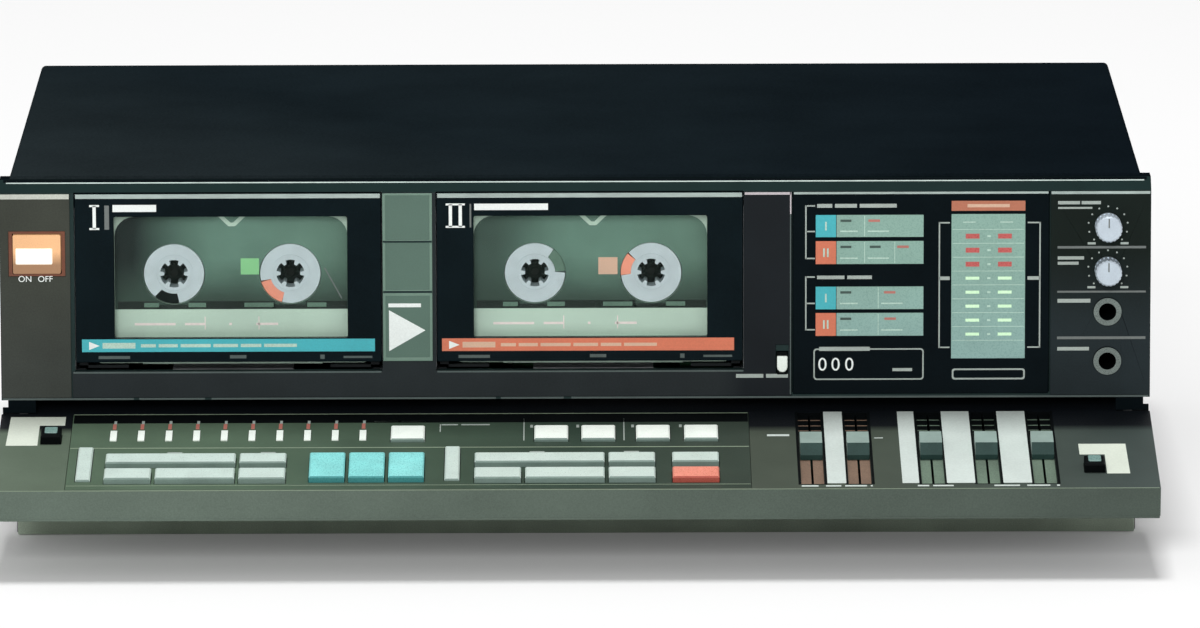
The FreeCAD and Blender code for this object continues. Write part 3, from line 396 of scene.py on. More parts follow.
def own(name):
    """What the pieces of a body share when it is named after its one node."""
    return {"body": name, "slot": name}


def shape(name, outline, c0, c1, material, holes=(), **more):
    """One solid from one outline."""
    return piece(name, solid(bmesh.new(), outline, c0, c1, holes), material, **more)


def marks(name, boxes, material, level=PROUD, thick=PRINT, **more):
    """Several flat printed bars in one piece, each as a0, a1, b0 and b1."""
    bm = bmesh.new()
    for bar in boxes:
        solid(bm, box(*bar), level - SUNK, level + thick)
    return piece(name, bm, material, **more)


def bar_row(spans, low, high):
    """Bars between the same two heights, from where each starts and ends."""
    return [(start, end, low, high) for start, end in spans]


# Height of a capital letter as a share of the font's size
CAPITAL = 0.7


def lettering(name, text, a, b, tall, material=WHITE):
    """Plain characters printed on the fascia, centred on a point."""
    curve = bpy.data.curves.new(name, "FONT")
    curve.body = text
    curve.size = tall / CAPITAL
    curve.align_x = "CENTER"
    curve.extrude = PRINT / 2
    maker = bpy.data.objects.new(name + "_maker", curve)
    bpy.context.scene.collection.objects.link(maker)
    bpy.context.view_layer.update()
    mesh = bpy.data.meshes.new_from_object(maker)
    bpy.data.objects.remove(maker)
    bm = bmesh.new()
    bm.from_mesh(mesh)
    bpy.data.meshes.remove(mesh)
    bmesh.ops.remove_doubles(bm, verts=bm.verts, dist=0.0005)
    bm.transform(Matrix.Translation((a, b, PROUD + PRINT / 2)))
    return piece(name, bm, material)


def dress(material, *nodes):
    """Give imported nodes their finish."""
    for name in nodes:
        thing = frame["nodes"][name]
        thing.data.materials.clear()
        thing.data.materials.append(material)


def dress_where(node, material, place, test):
    """Give a second finish to the faces of a node whose middles pass a test on a sheet."""
    thing = frame["nodes"][node]
    thing.data.materials.append(material)
    index = len(thing.data.materials) - 1
    back = place.inverted()
    for face in thing.data.polygons:
        if test(back @ (face.center / MM), back.to_3x3() @ face.normal):
            face.material_index = index


# Case and fascia

# Spans of the fascia's panels from left to right, their foot and top, and the top of their painted edge
# highlights
SPANS = {"left_end": (-209.8, -184.3), "middle": (-183.9, 78.9), "display": (79.4, 172.8),
         "right_end": (173.4, 209.8)}
PANEL_LOW, PANEL_HIGH = 51.4, 127.2
HIGHLIGHT_TOP = 127.1

# The column between the doors, the post right of them and the sill below them
COLUMN_LEFT, COLUMN_RIGHT = -70.5, -50.9
POST_LEFT = 61.5
SILL = 61.2

# Edges of the power button's parts, and middles of the reset button, the knobs and the jacks
POWER_HOLE = (-206.8, -186.0, 96.6, 113.4)
POWER_FRAME = (-205.1, -187.7, 97.8, 112.2)
POWER_LENS = (-204.3, -190.6, 101.0, 107.3)
RESET_X = 75.5
CONTROL_X = 194.3
KNOB_HEIGHTS = {"upper_level_knob": 114.3, "lower_level_knob": 98.0}
JACK_HEIGHTS = (82.4, 64.1)


def case_finishes():
    """Finishes of the sheet metal, the fascia, the feet and what lies inside."""
    for material, node in ((COVER, "top_cover"), (CHASSIS, "chassis"), (BROW, "front_fascia"),
                           (RUBBER, "feet"), (SCREW, "case_screws"), (COPPER, "power_transformer"),
                           (BOARD, "circuit_boards"), (STEEL, "tape_transports")):
        dress(material, node)
    # Painted shade on the brow's slope and on the fascia's top faces under the cover.
    dress_where("front_fascia", BROW_SLOPE_SHADE, BEVEL, lambda spot, facing: facing.z > 0.9)
    dress_where("front_fascia", SHADE, FRONT, lambda spot, facing: facing.y > 0.9 and spot.y > 120)


def fascia_panels():
    """The separate panels that stand on the fascia, with openings for the doors and controls."""
    panel = {"edge": 0.2, "slot": "front_fascia"}
    shape("left_end_panel", box(*SPANS["left_end"], PANEL_LOW, PANEL_HIGH), 0.02, PROUD, END_LEFT,
          holes=[box(*POWER_HOLE)], **panel)
    left, right = SPANS["middle"]
    middle = [(left, PANEL_LOW), (right, PANEL_LOW), (right, PANEL_HIGH), (POST_LEFT, PANEL_HIGH),
              (POST_LEFT, SILL), (COLUMN_RIGHT, SILL), (COLUMN_RIGHT, PANEL_HIGH),
              (COLUMN_LEFT, PANEL_HIGH), (COLUMN_LEFT, SILL), (left, SILL)]
    shape("middle_panel", middle, 0.02, PROUD, LOWER,
          holes=[box(RESET_X - 2.4, RESET_X + 2.4, 59.0, 70.4)], **panel)
    round_holes = [ring(CONTROL_X, z, 3.4) for z in KNOB_HEIGHTS.values()]
    round_holes += [ring(CONTROL_X, z, 5.2) for z in JACK_HEIGHTS]
    shape("right_end_panel", box(*SPANS["right_end"], PANEL_LOW, PANEL_HIGH), 0.02, PROUD,
          END_RIGHT, holes=round_holes, **panel)


def fascia_lines():
    """Painted edge highlights on the panels, brow, seams and foot, and painted shade on the brow."""
    thin = {"thick": HIGHLIGHT_THICK}
    left, right = SPANS["left_end"]
    marks("left_panel_top_highlight", [(left + 0.2, right - 0.2, 125.3, HIGHLIGHT_TOP)], BRIGHT_EDGE_HIGHLIGHT, **thin)
    left, right = SPANS["right_end"]
    marks("right_panel_top_highlight", [(left + 0.2, right - 0.2, 126.1, HIGHLIGHT_TOP)], EDGE_HIGHLIGHT, **thin)
    left, right = SPANS["middle"]
    warm = [(POST_LEFT + 0.3, right - 0.3, 126.2, HIGHLIGHT_TOP), (right - 0.6, right - 0.1, 119.0, HIGHLIGHT_TOP)]
    marks("middle_panel_top_highlights", warm, WARM_EDGE_HIGHLIGHT, **thin)
    marks("middle_panel_edge_highlight", [(right - 0.6, right - 0.2, 52.0, 119.0)], DIM_EDGE_HIGHLIGHT, **thin)
    slope = {"level": 0.0, "place": BEVEL}
    marks("brow_highlight", [(-207.5, 207.5, 4.1, 4.6)], EDGE_HIGHLIGHT, **slope)
    marks("brow_shade", [(-208.5, 208.5, 4.65, 5.8)], SHADE, **slope)
    spans = ((left + 0.3, COLUMN_LEFT - 0.5), (COLUMN_RIGHT + 0.3, POST_LEFT - 0.2))
    marks("seam_highlights", bar_row(spans, SILL - 0.7, SILL - 0.1), DIM_EDGE_HIGHLIGHT)
    spans = ((-209.4, -161.6), (-159.6, -135.6), (-133.2, -29.2), (-27.4, -4.4), (-1.6, 209.4))
    marks("fascia_foot_highlight", bar_row(spans, PANEL_LOW - 0.8, PANEL_LOW - 0.1),
          DIM_EDGE_HIGHLIGHT, level=0.1, thick=0.3)
    spans = ((58.6, 68.6), (69.6, 77.6))
    marks("reset_label", bar_row(spans, 58.2, 59.6), PALE)


def under_fascia():
    """Skirt at the foot of the case, painted pale against the drawer's shade, and painted shade in the
    corners above the drawer's ends.
    """
    shape("base_skirt", box(-204.6, 204.6, 0.3, 9.0), -3.4, 0.3, SKIRT, edge=0.4, slot="chassis")
    # Painted shade: dark blocks in the corners above the drawer's ends, where the slot would show through.
    corners = bmesh.new()
    for turn in (-1, 1):
        for outer, low, high in ((207.6, 47.7, 50.5), (209.6, 45.7, 47.7)):
            solid(corners, box(*sorted((turn * 197.5, turn * outer)), low, high), -1.2, -0.1)
    piece("fascia_corner_shade", corners, SHADE, slot="front_fascia")


def centre_column():
    """Green column between the doors with its printed arrow."""
    left, right = -70.3, -52.2
    spans = ((109.8, 126.4), (91.3, 108.8), (66.2, 89.1))
    panes = [box(left + 1.0, right - 1.0, low, high) for low, high in spans]
    shape("column_frame", box(left, right, 64.9, HIGHLIGHT_TOP), PROUD, PROUD + 0.5, GREEN_EDGE,
          holes=panes, edge=0.15, slot="front_fascia")
    bm = bmesh.new()
    for pane in panes:
        solid(bm, pane, PROUD - 0.02, PROUD + 0.3)
    piece("column_panes", bm, GREEN, slot="front_fascia")
    seams = [(left + 0.1, right - 0.1, low, high) for low, high in ((108.9, 109.6), (90.2, 91.0))]
    marks("column_seams", seams, BROW, level=PROUD + 0.5)
    marks("column_bar", [(-68.3, -56.4, 84.9, 86.3)], WHITE, level=PROUD + 0.3)
    shape("column_arrow", [(-68.1, 68.6), (-54.8, 76.3), (-68.1, 83.8)], PROUD + 0.28, PROUD + 0.36, WHITE)


# Doors and cassettes

# Middles of the doors, and how far right of them the cassettes sit
DOORS = {"left": -126.65, "right": 5.25}
CASSETTE_OFF = 1.2

# Half widths of a lid and of the holder behind it, the holder's back, and the hinge's line
LID_HALF, HOLDER_HALF = 55.8, 54.9
HOLDER_BACK = -16.35
HINGE_Z, HINGE_C = 60.0, -8.0

# Windows in the lids
WINDOWS = {"left": (-168.3, -83.2), "right": (-37.1, 48.1)}
WINDOW_LOW, WINDOW_HIGH = 73.4, 118.6

# Cassettes: the face of the shell, the film on it, and the middles of the two hubs
FACE = -6.5
FILM_LOW, FILM_HIGH, FILM_ROUND = 83.0, 117.4, 7.2
HUB_Z, HUB_REACH = 96.1, 21.25
HUB_X = {side: (x + CASSETTE_OFF - HUB_REACH, x + CASSETTE_OFF + HUB_REACH) for side, x in DOORS.items()}

# Radii of the hole for a hub, of the hub and the core in its gap, and of its teeth
HUB_HOLE, HUB_ROUND, CORE_ROUND = 11.3, 11.0, 7.4
TOOTH_TIP, TOOTH_ROOT = 3.6, 5.1

# Where the gaps of each cassette's hubs start and end in degrees, and the finish of the clips in them
HUB_GAPS = {"left": ((231, 279, GLOOM), (196, 254, CLIP)), "right": ((2, 52, PATCH), (140, 186, CLIP))}


def bar_dashes(start, lengths, b0, b1, gap=1.0):
    """A row of short bars with gaps between them."""
    bars = []
    for length in lengths:
        bars.append((start, start + length, b0, b1))
        start += length + gap
    return bars


def lid(side):
    """Door lid with its clear window and the painted highlight along its top edge."""
    x = DOORS[side]
    on = {"body": side + "_door_body", "slot": side + "_door"}
    window = (*WINDOWS[side], WINDOW_LOW, WINDOW_HIGH)
    shape(side + "_lid", box(x - LID_HALF, x + LID_HALF, 64.6, PANEL_HIGH), -3.0, PROUD, LID,
          holes=[rounded(*window, 0.8)], edge=0.35, steps=3, stands_for=[side + "_door"], **on)
    shape(side + "_pane", box(*window), -1.6, -0.6, PANE, **on)
    half = LID_HALF - 0.3
    marks(side + "_lid_top_highlight", [(x - half, x + half, 125.4, 127.0)], EDGE_HIGHLIGHT, thick=HIGHLIGHT_THICK, body=on["body"])


def holder(side):
    """Rails, ledges and lugs behind a lid that carry the cassette, and the hinge's pins."""
    x = DOORS[side]
    on = {"body": side + "_door_body", "slot": side + "_door"}
    carrier, pins = bmesh.new(), bmesh.new()
    for turn in (-1, 1):
        outer = x + turn * HOLDER_HALF
        rail = sorted((outer, outer - turn * 3.2))
        ledge = sorted((outer, outer - turn * 18.0))
        lug = sorted((outer, outer - turn * 2.4))
        solid(carrier, box(*rail, 66.0, 119.2), HOLDER_BACK, -3.0)
        solid(carrier, box(*rail, 61.6, 66.0), HOLDER_BACK, -4.6)
        solid(carrier, box(*ledge, 61.6, 62.6), HOLDER_BACK, -4.6)
        solid(carrier, box(*lug, 57.6, 62.0), HINGE_C - 2.6, HINGE_C + 2.6)
        spot = Matrix.Translation((x + turn * 55.0, HINGE_Z, HINGE_C))
        bmesh.ops.create_cone(pins, cap_ends=True, segments=24, radius1=1.5, radius2=1.5, depth=5.0,
                              matrix=spot @ Matrix.Rotation(math.radians(90), 4, "Y"))
    piece(side + "_holder", carrier, HOLDER, **on)
    piece(side + "_pins", pins, HOLDER, **on)


def numeral(side, stems, left, right, low, high):
    """A printed numeral: upright stems between two serifs."""
    bars = [(a, a + 1.2, low + 0.3, high - 0.3) for a in stems]
    bars += [(left, right, high - 0.7, high), (left, right, low, low + 0.7)]
    marks(side + "_numeral", bars, WHITE, body=side + "_door_body")


def lid_heads():
    """Numerals and bars at the top of the lids."""
    numeral("left", (-175.9,), -177.1, -173.5, 113.9, 123.1)
    numeral("right", (-46.1, -42.5), -47.2, -40.2, 114.3, 123.3)
    for side, grey, white in (("left", (-171.6, -169.9, 114.0, 122.9), (-168.6, -152.7, 120.5, 123.1)),
                              ("right", (-38.5, -37.9, 114.4, 123.1), (-36.8, -9.9, 120.8, 123.2))):
        marks(side + "_grey_bar", [grey], GREY, body=side + "_door_body")
        marks(side + "_top_bar", [white], WHITE, body=side + "_door_body")


def lid_strip(side, left, wide, colour, word_colour):
    """Coloured strip at the foot of a lid with its arrow and words, and painted highlights on the lid's edge
    below it.
    """
    on = {"body": side + "_door_body"}
    marks(side + "_strip", [(left, left + wide, 68.5, 73.2)], colour, **on)
    words = bar_dashes(left + 7.5, (12.0,), 69.8, 71.9)
    words += bar_dashes(left + 21.5, (5.5, 7.0, 11.0, 9.0, 7.5, 12.0), 70.2, 71.4)
    marks(side + "_strip_words", words, word_colour, level=PROUD + 0.04, **on)
    arrow = [(left + 2.6, 69.3), (left + 6.4, 70.8), (left + 2.6, 72.3)]
    shape(side + "_strip_arrow", arrow, PROUD + 0.04, PROUD + 0.12, WHITE, **on)
    foot_highlights = [(left + 54.0, left + 60.0, 66.0, 67.2), (left + 6.0, left + 17.5, 65.9, 67.0),
               (left + 87.0, left + 88.6, 65.7, 67.3), (left + 95.5, left + 106.0, 66.0, 66.8)]
    marks(side + "_lid_foot_highlights", foot_highlights, DIM_EDGE_HIGHLIGHT, **on)


def liner_finish(side, x, dark):
    """Smoky film, darker towards its left end and its foot."""
    return finish(side + "_liner_film", (101, 134, 119), rough=0.35, vary=0.10, patch=16.0, relief=0.004,
                  fades=[((97, 127, 112), ACROSS, x + 10, x + 40), (dark, (-1, 0, 0), -x + 8, -x + 36),
                         ((56, 74, 65), (0, 0, -1), -102, -87)], **DULL)


def shell(side):
    """Pale shell of a compact cassette with its thicker foot."""
    x = DOORS[side] + CASSETTE_OFF
    on = {"body": side + "_door_body", "slot": side + "_cassette"}
    shape(side + "_shell", rounded(x - 50.2, x + 50.2, 62.9, 126.7, 2.5), FACE - 8.7, FACE, SHELL,
          holes=hub_holes(side), edge=0.5, stands_for=[side + "_cassette"], **on)
    foot = [(x - 33, 62.9), (x + 33, 62.9), (x + 31.6, 72.4), (x - 31.6, 72.4)]
    shape(side + "_shell_foot", foot, FACE, FACE + 1.65, SHELL, edge=0.3, **on)


def hub_holes(side):
    """Outlines of the two holes that the hubs of a cassette sit in."""
    return [ring(x, HUB_Z, HUB_HOLE) for x in HUB_X[side]]


def liner(side, dark):
    """Film behind the window with two round corners and a notch at its top."""
    x = DOORS[side] + CASSETTE_OFF
    on = {"body": side + "_door_body", "slot": side + "_cassette"}
    left, right = WINDOWS[side]
    shoulder = FILM_HIGH - FILM_ROUND
    film = [(left, FILM_LOW), (right, FILM_LOW), *arc(right - FILM_ROUND, shoulder, FILM_ROUND, 0, 90),
            (x + 5.0, FILM_HIGH), (x + 1.2, FILM_HIGH - 3.6), (x - 1.2, FILM_HIGH - 3.6),
            (x - 5.0, FILM_HIGH), *arc(left + FILM_ROUND, shoulder, FILM_ROUND, 90, 180)]
    material = liner_finish(side, x, dark)
    shape(side + "_liner", film, FACE - 0.02, FACE + 0.12, material, holes=hub_holes(side), **on)
    notch = [(x - 2.8, FILM_HIGH), (x + 2.8, FILM_HIGH), (x + 0.5, FILM_HIGH - 2.2),
             (x - 0.5, FILM_HIGH - 2.2)]
    shape(side + "_liner_notch", notch, FACE, FACE + 0.12, material, **on)


def cassette_printing(side):
    """Dark band with pale patches and painted shadow under the hubs at the film's foot, words on the shell,
    and the left tape's end.
    """
    on = {"body": side + "_door_body", "slot": side + "_cassette"}
    left, right = WINDOWS[side]
    first, second = HUB_X[side]
    gaps = ((left + 1.0, first - 5.6), (first + 5.6, second - 5.6), (second + 5.6, right - 0.3))
    # Painted shadow under each hub, in the band's dark ink.
    hub_shadows = [(a - 6.5, a + 6.5) for a in (first, second)]
    bands = bar_row(gaps, FILM_LOW + 0.2, 86.0)
    bands += bar_row(hub_shadows, FILM_LOW + 0.2, HUB_Z - HUB_HOLE - 0.1)
    marks(side + "_liner_band", bands, BAND_AND_SHADOW, level=FACE + 0.12, **on)
    patches = [(left + a0, left + a1) for a0, a1 in ((10.6, 16.0), (26.8, 33.2), (47.2, 57.9), (70.2, 77.2))]
    marks(side + "_liner_patches", bar_row(patches, FILM_LOW + 0.8, 85.4), PATCH, level=FACE + 0.16, **on)
    words = [(left + a0, left + a1) for a0, a1 in ((7.0, 22.0), (25.4, 32.6), (51.5, 59.5), (41.6, 42.6))]
    rules = [(left + a, left + a + 0.4) for a in (32.6, 52.3)]
    bars = bar_row(words, 77.0, 77.9) + bar_row(rules, 75.4, 80.2)
    marks(side + "_shell_words", bars, FAINT, level=FACE, **on)
    if side == "left":
        x = DOORS[side] + CASSETTE_OFF
        tape = [(x + 33.6, 98.2), (x + 34.0, 98.4), (x + 40.2, 87.0), (x + 39.8, 86.8)]
        shape("left_tape", tape, FACE + 0.1, FACE + 0.2, GREY, **on)


def tape_hub(name, x, gap_start, gap_end):
    """Toothed hub disc with the gap for its tape clip."""
    bm = bmesh.new()
    count = 180
    loops = {}
    for key, c in (("low", FACE - 8.0), ("high", FACE - 0.5)):
        inner, outer = [], []
        for n in range(count):
            degrees = 360 * n / count
            turn = math.radians(degrees)
            off_tooth = abs((degrees + 30) % 60 - 30)
            near = TOOTH_TIP if off_tooth < 10 else TOOTH_ROOT
            in_gap = (degrees - gap_start) % 360 < (gap_end - gap_start) % 360
            far = CORE_ROUND if in_gap else HUB_ROUND
            inner.append(bm.verts.new((near * math.cos(turn), near * math.sin(turn), c)))
            outer.append(bm.verts.new((far * math.cos(turn), far * math.sin(turn), c)))
        loops[key] = (inner, outer)
    for n in range(count):
        after = (n + 1) % count
        for inner, outer in loops.values():
            bm.faces.new((inner[n], inner[after], outer[after], outer[n]))
        for low, high in zip(loops["low"], loops["high"]):
            bm.faces.new((low[n], low[after], high[after], high[n]))
    place = FRONT @ Matrix.Translation((x, HUB_Z, 0))
    piece(name + "_disc", bm, HUB, place=place, stands_for=[name], **own(name))
    collar = solid(bmesh.new(), ring(0, 0, 7.0, 48), FACE - 0.52, FACE - 0.2, holes=[ring(0, 0, 6.3, 48)])
    piece(name + "_collar", collar, HUB, place=place, **own(name))


def hub_clip(name, x, start, end, material):
    """Coloured clip that holds the tape in the hub's gap."""
    outline = arc(0, 0, HUB_ROUND + 0.1, start, end, 8)
    outline += reversed(arc(0, 0, CORE_ROUND + 0.05, start, end, 8))
    clip = solid(bmesh.new(), outline, FACE - 6.5, FACE - 0.7)
    piece(name + "_clip", clip, material, place=FRONT @ Matrix.Translation((x, HUB_Z, 0)), **own(name))


def hubs(side):
    """The two hubs of a cassette, each with its clip."""
    for job, x, (start, end, material) in zip(("supply", "take_up"), HUB_X[side], HUB_GAPS[side]):
        name = "%s_%s_hub" % (side, job)
        tape_hub(name, x, start, end)
        hub_clip(name, x, start + 1, end - 1, material)


def decks():
    """Both doors with cassettes, hubs and spindles."""
    for side, dark in (("left", (25, 34, 33)), ("right", (64, 84, 75))):
        lid(side)
        holder(side)
        shell(side)
        liner(side, dark)
        cassette_printing(side)
        hubs(side)
        dress(SPINDLE, side + "_supply_spindle", side + "_take_up_spindle")
    lid_heads()
    # The left strip's words glow a little: painted light.
    lid_strip("left", -180.3, 107.0, BLUE, MINT_LINE)
    lid_strip("right", -48.8, 106.7, ORANGE, PEACH)
    for side, mark, colour in (("left", (-122.3, -115.6, 95.9, 101.9), LIME),
                               ("right", (8.4, 15.4, 95.6, 101.9), PEACH)):
        marks(side + "_liner_mark", [mark], colour, level=FACE + 0.15, body=side + "_door_body")


# Display and end panels

# Spans of the lit rows and of the meter, and the level of a print that lies on another
ROW_LEFT, ROW_RIGHT = 95.3, 127.0
METER_LEFT, METER_RIGHT = 137.2, 164.1
OVER = {"level": PROUD + 0.04}


def bracket(a_rail, a_end, stops):
    """Bars of a bracket: an upright rail with arms at each stop, as height and thickness."""
    low = min(b - thick / 2 for b, thick in stops)
    high = max(b + thick / 2 for b, thick in stops)
    bars = [(a_rail - 0.25, a_rail + 0.25, low, high)]
    for b, thick in stops:
        bars.append((min(a_rail, a_end), max(a_rail, a_end), b - thick / 2, b + thick / 2))
    return bars


def type_row(number, low, high, tag, reds, rules, more_darks=()):
    """A lit row of the display with its coloured tag, numeral, dashes and faint lines."""
    row = "display_row_%d" % number
    marks(row, [(ROW_LEFT, ROW_RIGHT, low, high)], MINT)
    marks(row + "_tag", [(87.7, 95.1, low, high)], tag)
    middle = (low + high) / 2
    strokes = (91.4,) if number % 2 else (90.7, 92.1)
    numeral_bars = [(a - 0.3, a + 0.3, middle - 1.6, middle + 1.6) for a in strokes]
    marks(row + "_numeral", numeral_bars, MINT_LINE, **OVER)
    dash = high - 2.6
    marks(row + "_dark", [(a, a + 4.0, dash, dash + 0.9) for a in (96.7, *more_darks)], MINT_DARK, **OVER)
    marks(row + "_red", [(a, a + 4.2, dash, dash + 0.9) for a in reds], SMALL_RED, **OVER)
    faint = [(a, a + 0.25, low + 0.3, high - 0.3) for a in rules]
    spans = ((96.6, 103.0), (rules[0] + 1.2, rules[0] + 9.0))
    faint += bar_row(spans, low + 1.9, low + 2.4)
    marks(row + "_faint", faint, MINT_LINE, **OVER)


def display():
    """Gloss panel with its lit rows, and the brackets and words beside them."""
    left, right = SPANS["display"]
    shape("display_panel", box(left, right, 52.0, PANEL_HIGH), -2.5, PROUD, PANEL, edge=0.3,
          steps=3, slot="display_window", stands_for=["display_window"])
    # Painted highlight along the panel's top edge.
    marks("display_top_highlight", [(left + 0.3, right - 0.3, 126.3, HIGHLIGHT_TOP)], EDGE_HIGHLIGHT, thick=HIGHLIGHT_THICK)
    type_row(1, 110.4, 118.6, BLUE, reds=(106.9,), rules=(105.4,))
    type_row(2, 100.4, 108.9, ORANGE, reds=(117.4,), rules=(105.4, 116.4), more_darks=(107.4,))
    type_row(3, 83.6, 92.0, BLUE, reds=(112.6,), rules=(110.4,))
    type_row(4, 73.7, 82.2, ORANGE, reds=(112.8,), rules=(110.4,))
    lines = bracket(84.1, 87.4, ((122.0, 0.5), (112.5, 0.5), (102.5, 0.5)))
    lines += bracket(84.1, 87.4, ((95.6, 0.5), (85.8, 0.5), (76.0, 0.5)))
    arms = ((115.6, 0.5), (95.0, 1.3), (69.3, 0.5))
    lines += bracket(132.8, 136.6, arms) + bracket(169.5, 165.0, arms)
    marks("display_brackets", lines, PALE)
    words = bar_dashes(88.2, (5.5, 8.0, 13.5), 121.3, 122.7) + bar_dashes(88.2, (10.0, 9.0), 94.8, 96.1)
    marks("display_words", words, PALE)


def outlined(name, edges, radius, line):
    """A printed frame with round corners, its line going inwards from four edges."""
    shape(name, rounded(*edges, radius), PROUD - SUNK, PROUD + PRINT, PALE,
          holes=[rounded(*grown(edges, -line), radius - 0.3)])


def counter():
    """Framed counter that reads nought."""
    outlined("counter_outline", (86.9, 127.2, 57.3, 69.0), 1.2, 0.5)
    marks("counter_words", [(89.0, 107.5, 68.1, 69.6), (115.8, 123.0, 60.5, 61.6)], PALE, level=PROUD + 0.03)
    for number, a in enumerate((90.2, 95.0, 100.0), start=1):
        lettering("counter_digit_%d" % number, "0", a, 60.8, 4.8)


def level_meter():
    """Two columns of lit bars on a pale screen, with a label above and a blank badge below."""
    outlined("blank_badge", (137.5, 164.2, 57.3, 61.4), 1.0, 0.6)
    marks("meter_label", [(METER_LEFT, METER_RIGHT, 120.0, 123.7)], RUST)
    marks("meter_label_words", [(143.0, 158.4, 121.3, 122.5)], PEACH, **OVER)
    marks("meter_screen", [(METER_LEFT, METER_RIGHT, 65.2, 118.8)], MINT)
    heights = [113.0 - 5.15 * n for n in range(9)]
    marks("meter_rules", [(METER_LEFT + 0.4, METER_RIGHT - 0.4, b, b + 0.2) for b in heights],
          MINT_LINE, level=PROUD + 0.03)
    reds, greens, dots = [], [], []
    for n in range(8):
        middle = 110.6 - 5.2 * n
        bars, half = (reds, 0.9) if n < 3 else (greens, 0.55)
        bars.extend((a, a + 5.0, middle - half, middle + half) for a in (142.4, 154.2))
        dots.append((150.3, 151.5, middle - 0.35, middle + 0.35))
    marks("meter_red_bars", reds, LIT_RED, **OVER)
    marks("meter_green_bars", greens, LIT, **OVER)
    heads = [(141.5, 146.0, 115.6, 116.0), (155.0, 159.6, 115.6, 116.0)]
    marks("meter_scale", dots + heads, MINT_LINE, **OVER)


def power_button():
    """Amber frame with its lit lens, painted shadow in the rim of its hole, and the words below it."""
    shape("power_frame", rounded(*POWER_FRAME, 0.6), -8.0, 1.2, AMBER, edge=0.35,
          holes=[rounded(*POWER_LENS, 0.5)], stands_for=["power_button"], **own("power_button"))
    shape("power_lens", rounded(*grown(POWER_LENS, -0.1), 0.5), -6.0, 1.0, LENS,
          edge=0.4, **own("power_button"))
    shape("power_rim_shadow", box(*grown(POWER_HOLE, -0.1)), -1.1, 0.1, AMBER_RIM_SHADOW,
          holes=[box(*grown(POWER_FRAME, 0.3))], slot="front_fascia")
    lettering("power_on_text", "ON", -200.8, 94.7, 2.2)
    lettering("power_off_text", "OFF", -193.4, 94.7, 2.2)


def reset_button():
    """White tongue of the counter's reset button in its dark well, with a little painted glow."""
    name = "counter_reset_button"
    well = rounded(RESET_X - 1.95, RESET_X + 1.95, 59.4, 67.8, 0.4)
    shape("reset_well", well, -8.0, 0.6, GLOOM, stands_for=["counter_reset_button"], **own(name))
    half = 1.9
    tongue = [(RESET_X - half, 66.4), (RESET_X - half, 62.6), *arc(RESET_X, 62.3, half, 180, 360),
              (RESET_X + half, 66.4)]
    shape("reset_cap", tongue, 0.5, 1.8, PAINTED_GLOW_KEY, edge=0.35, **own(name))


def knobs_and_jacks():
    """Finishes of the knobs and jacks, and the knobs' pointers with the dots and dashes round them."""
    dress(KNOB, *KNOB_HEIGHTS)
    dress(RING, "jack_sockets")
    dress_where("jack_sockets", GLOOM, FRONT, lambda spot, facing: spot.z < 0.9)
    for name, z in KNOB_HEIGHTS.items():
        pointer = box(CONTROL_X - 0.25, CONTROL_X + 0.25, z + 0.6, z + 4.0)
        shape(name + "_pointer", pointer, 8.45, 8.56, GREY, **own(name))
        ticks = bmesh.new()
        for a, b in arc(CONTROL_X, z, 7.2, 225, -45, 10):
            solid(ticks, ring(a, b, 0.34, 10), PROUD - SUNK, PROUD + PRINT)
        for a in (CONTROL_X - 7.4, CONTROL_X + 4.6):
            solid(ticks, box(a, a + 2.9, z - 6.9, z - 6.1), PROUD - SUNK, PROUD + PRINT)
        piece(name + "_ticks", ticks, PALE)


def right_end_printing():
    """Rules between the controls of the right end panel, and bars in place of its words."""
    rules = [(175.9, 208.2, low, high) for low, high in ((105.9, 106.8), (89.5, 90.2), (72.2, 73.2))]
    marks("right_end_rules", rules, GREY)
    words = bar_dashes(176.0, (8.0, 7.0), 122.3, 123.5, 0.6)
    lines = ((12.5, 120.6, 121.3), (9.6, 101.8, 103.0), (7.6, 99.9, 101.0), (12.0, 85.8, 87.2),
             (11.6, 68.0, 69.3))
    words += [(176.0, 176.0 + wide, low, high) for wide, low, high in lines]
    marks("right_end_words", words, PALE)


# Control drawer

# Half the drawer's width, the span of its key plate, and what its pieces and the prints on it share
DRAWER_HALF = 209.8
PLATE_LEFT, PLATE_RIGHT = -183.4, 62.8
ON_DRAWER = {"body": "drawer", "place": DRAWER}
FLAT = {"level": 0.0, **ON_DRAWER}

# Middles of the faders, half a channel and half the slit in it, and how far up its felts run
FADERS = (85.2, 102.2, 128.6, 148.6, 169.0)
CHANNEL_HALF, SLIT_HALF = 4.1, 0.43
FELT_LOW, FELT_MIDDLE, FELT_HIGH = 5.2, 33.0, 77.0


def in_channel(spot, facing):
    """Whether a face of the drawer lies in a fader's channel, and not on the drawer's underside."""
    on_underside = -11 < spot.z < -10
    return 70 < spot.x < 180 and 4 < spot.y < 77.3 and spot.z < -0.05 and not on_underside


def drawer_finishes():
    """Finishes of the drawer, its front and channels, its key plate and its lamps."""
    dress(DECK, "control_drawer")
    # The drawer's front gets the slightly lighter copy of its plastic: painted light.
    dress_where("control_drawer", SLAB, DRAWER, lambda spot, facing: facing.y < -0.7 and spot.y < 1)
    dress_where("control_drawer", GLOOM, DRAWER, in_channel)
    dress(PLATE, "key_plate")
    dress(PAINTED_GLOW_KEY, "track_lamps")


def corner_marks():
    """Pale angles printed round the two drawer buttons."""
    left = [(-207, 45.4), (-195.5, 45.4), (-195.5, 65.4), (-186.3, 65.4), (-186.3, 74), (-206.4, 74)]
    shape("left_corner_mark", left, -SUNK, PRINT, CREAM, **ON_DRAWER)
    right = [(191.4, 14.6), (199.7, 14.6), (199.4, 43.9), (182.3, 43.9), (182.3, 33.4), (191.4, 33.4)]
    shape("right_corner_mark", right, -SUNK, PRINT, CREAM, **ON_DRAWER)


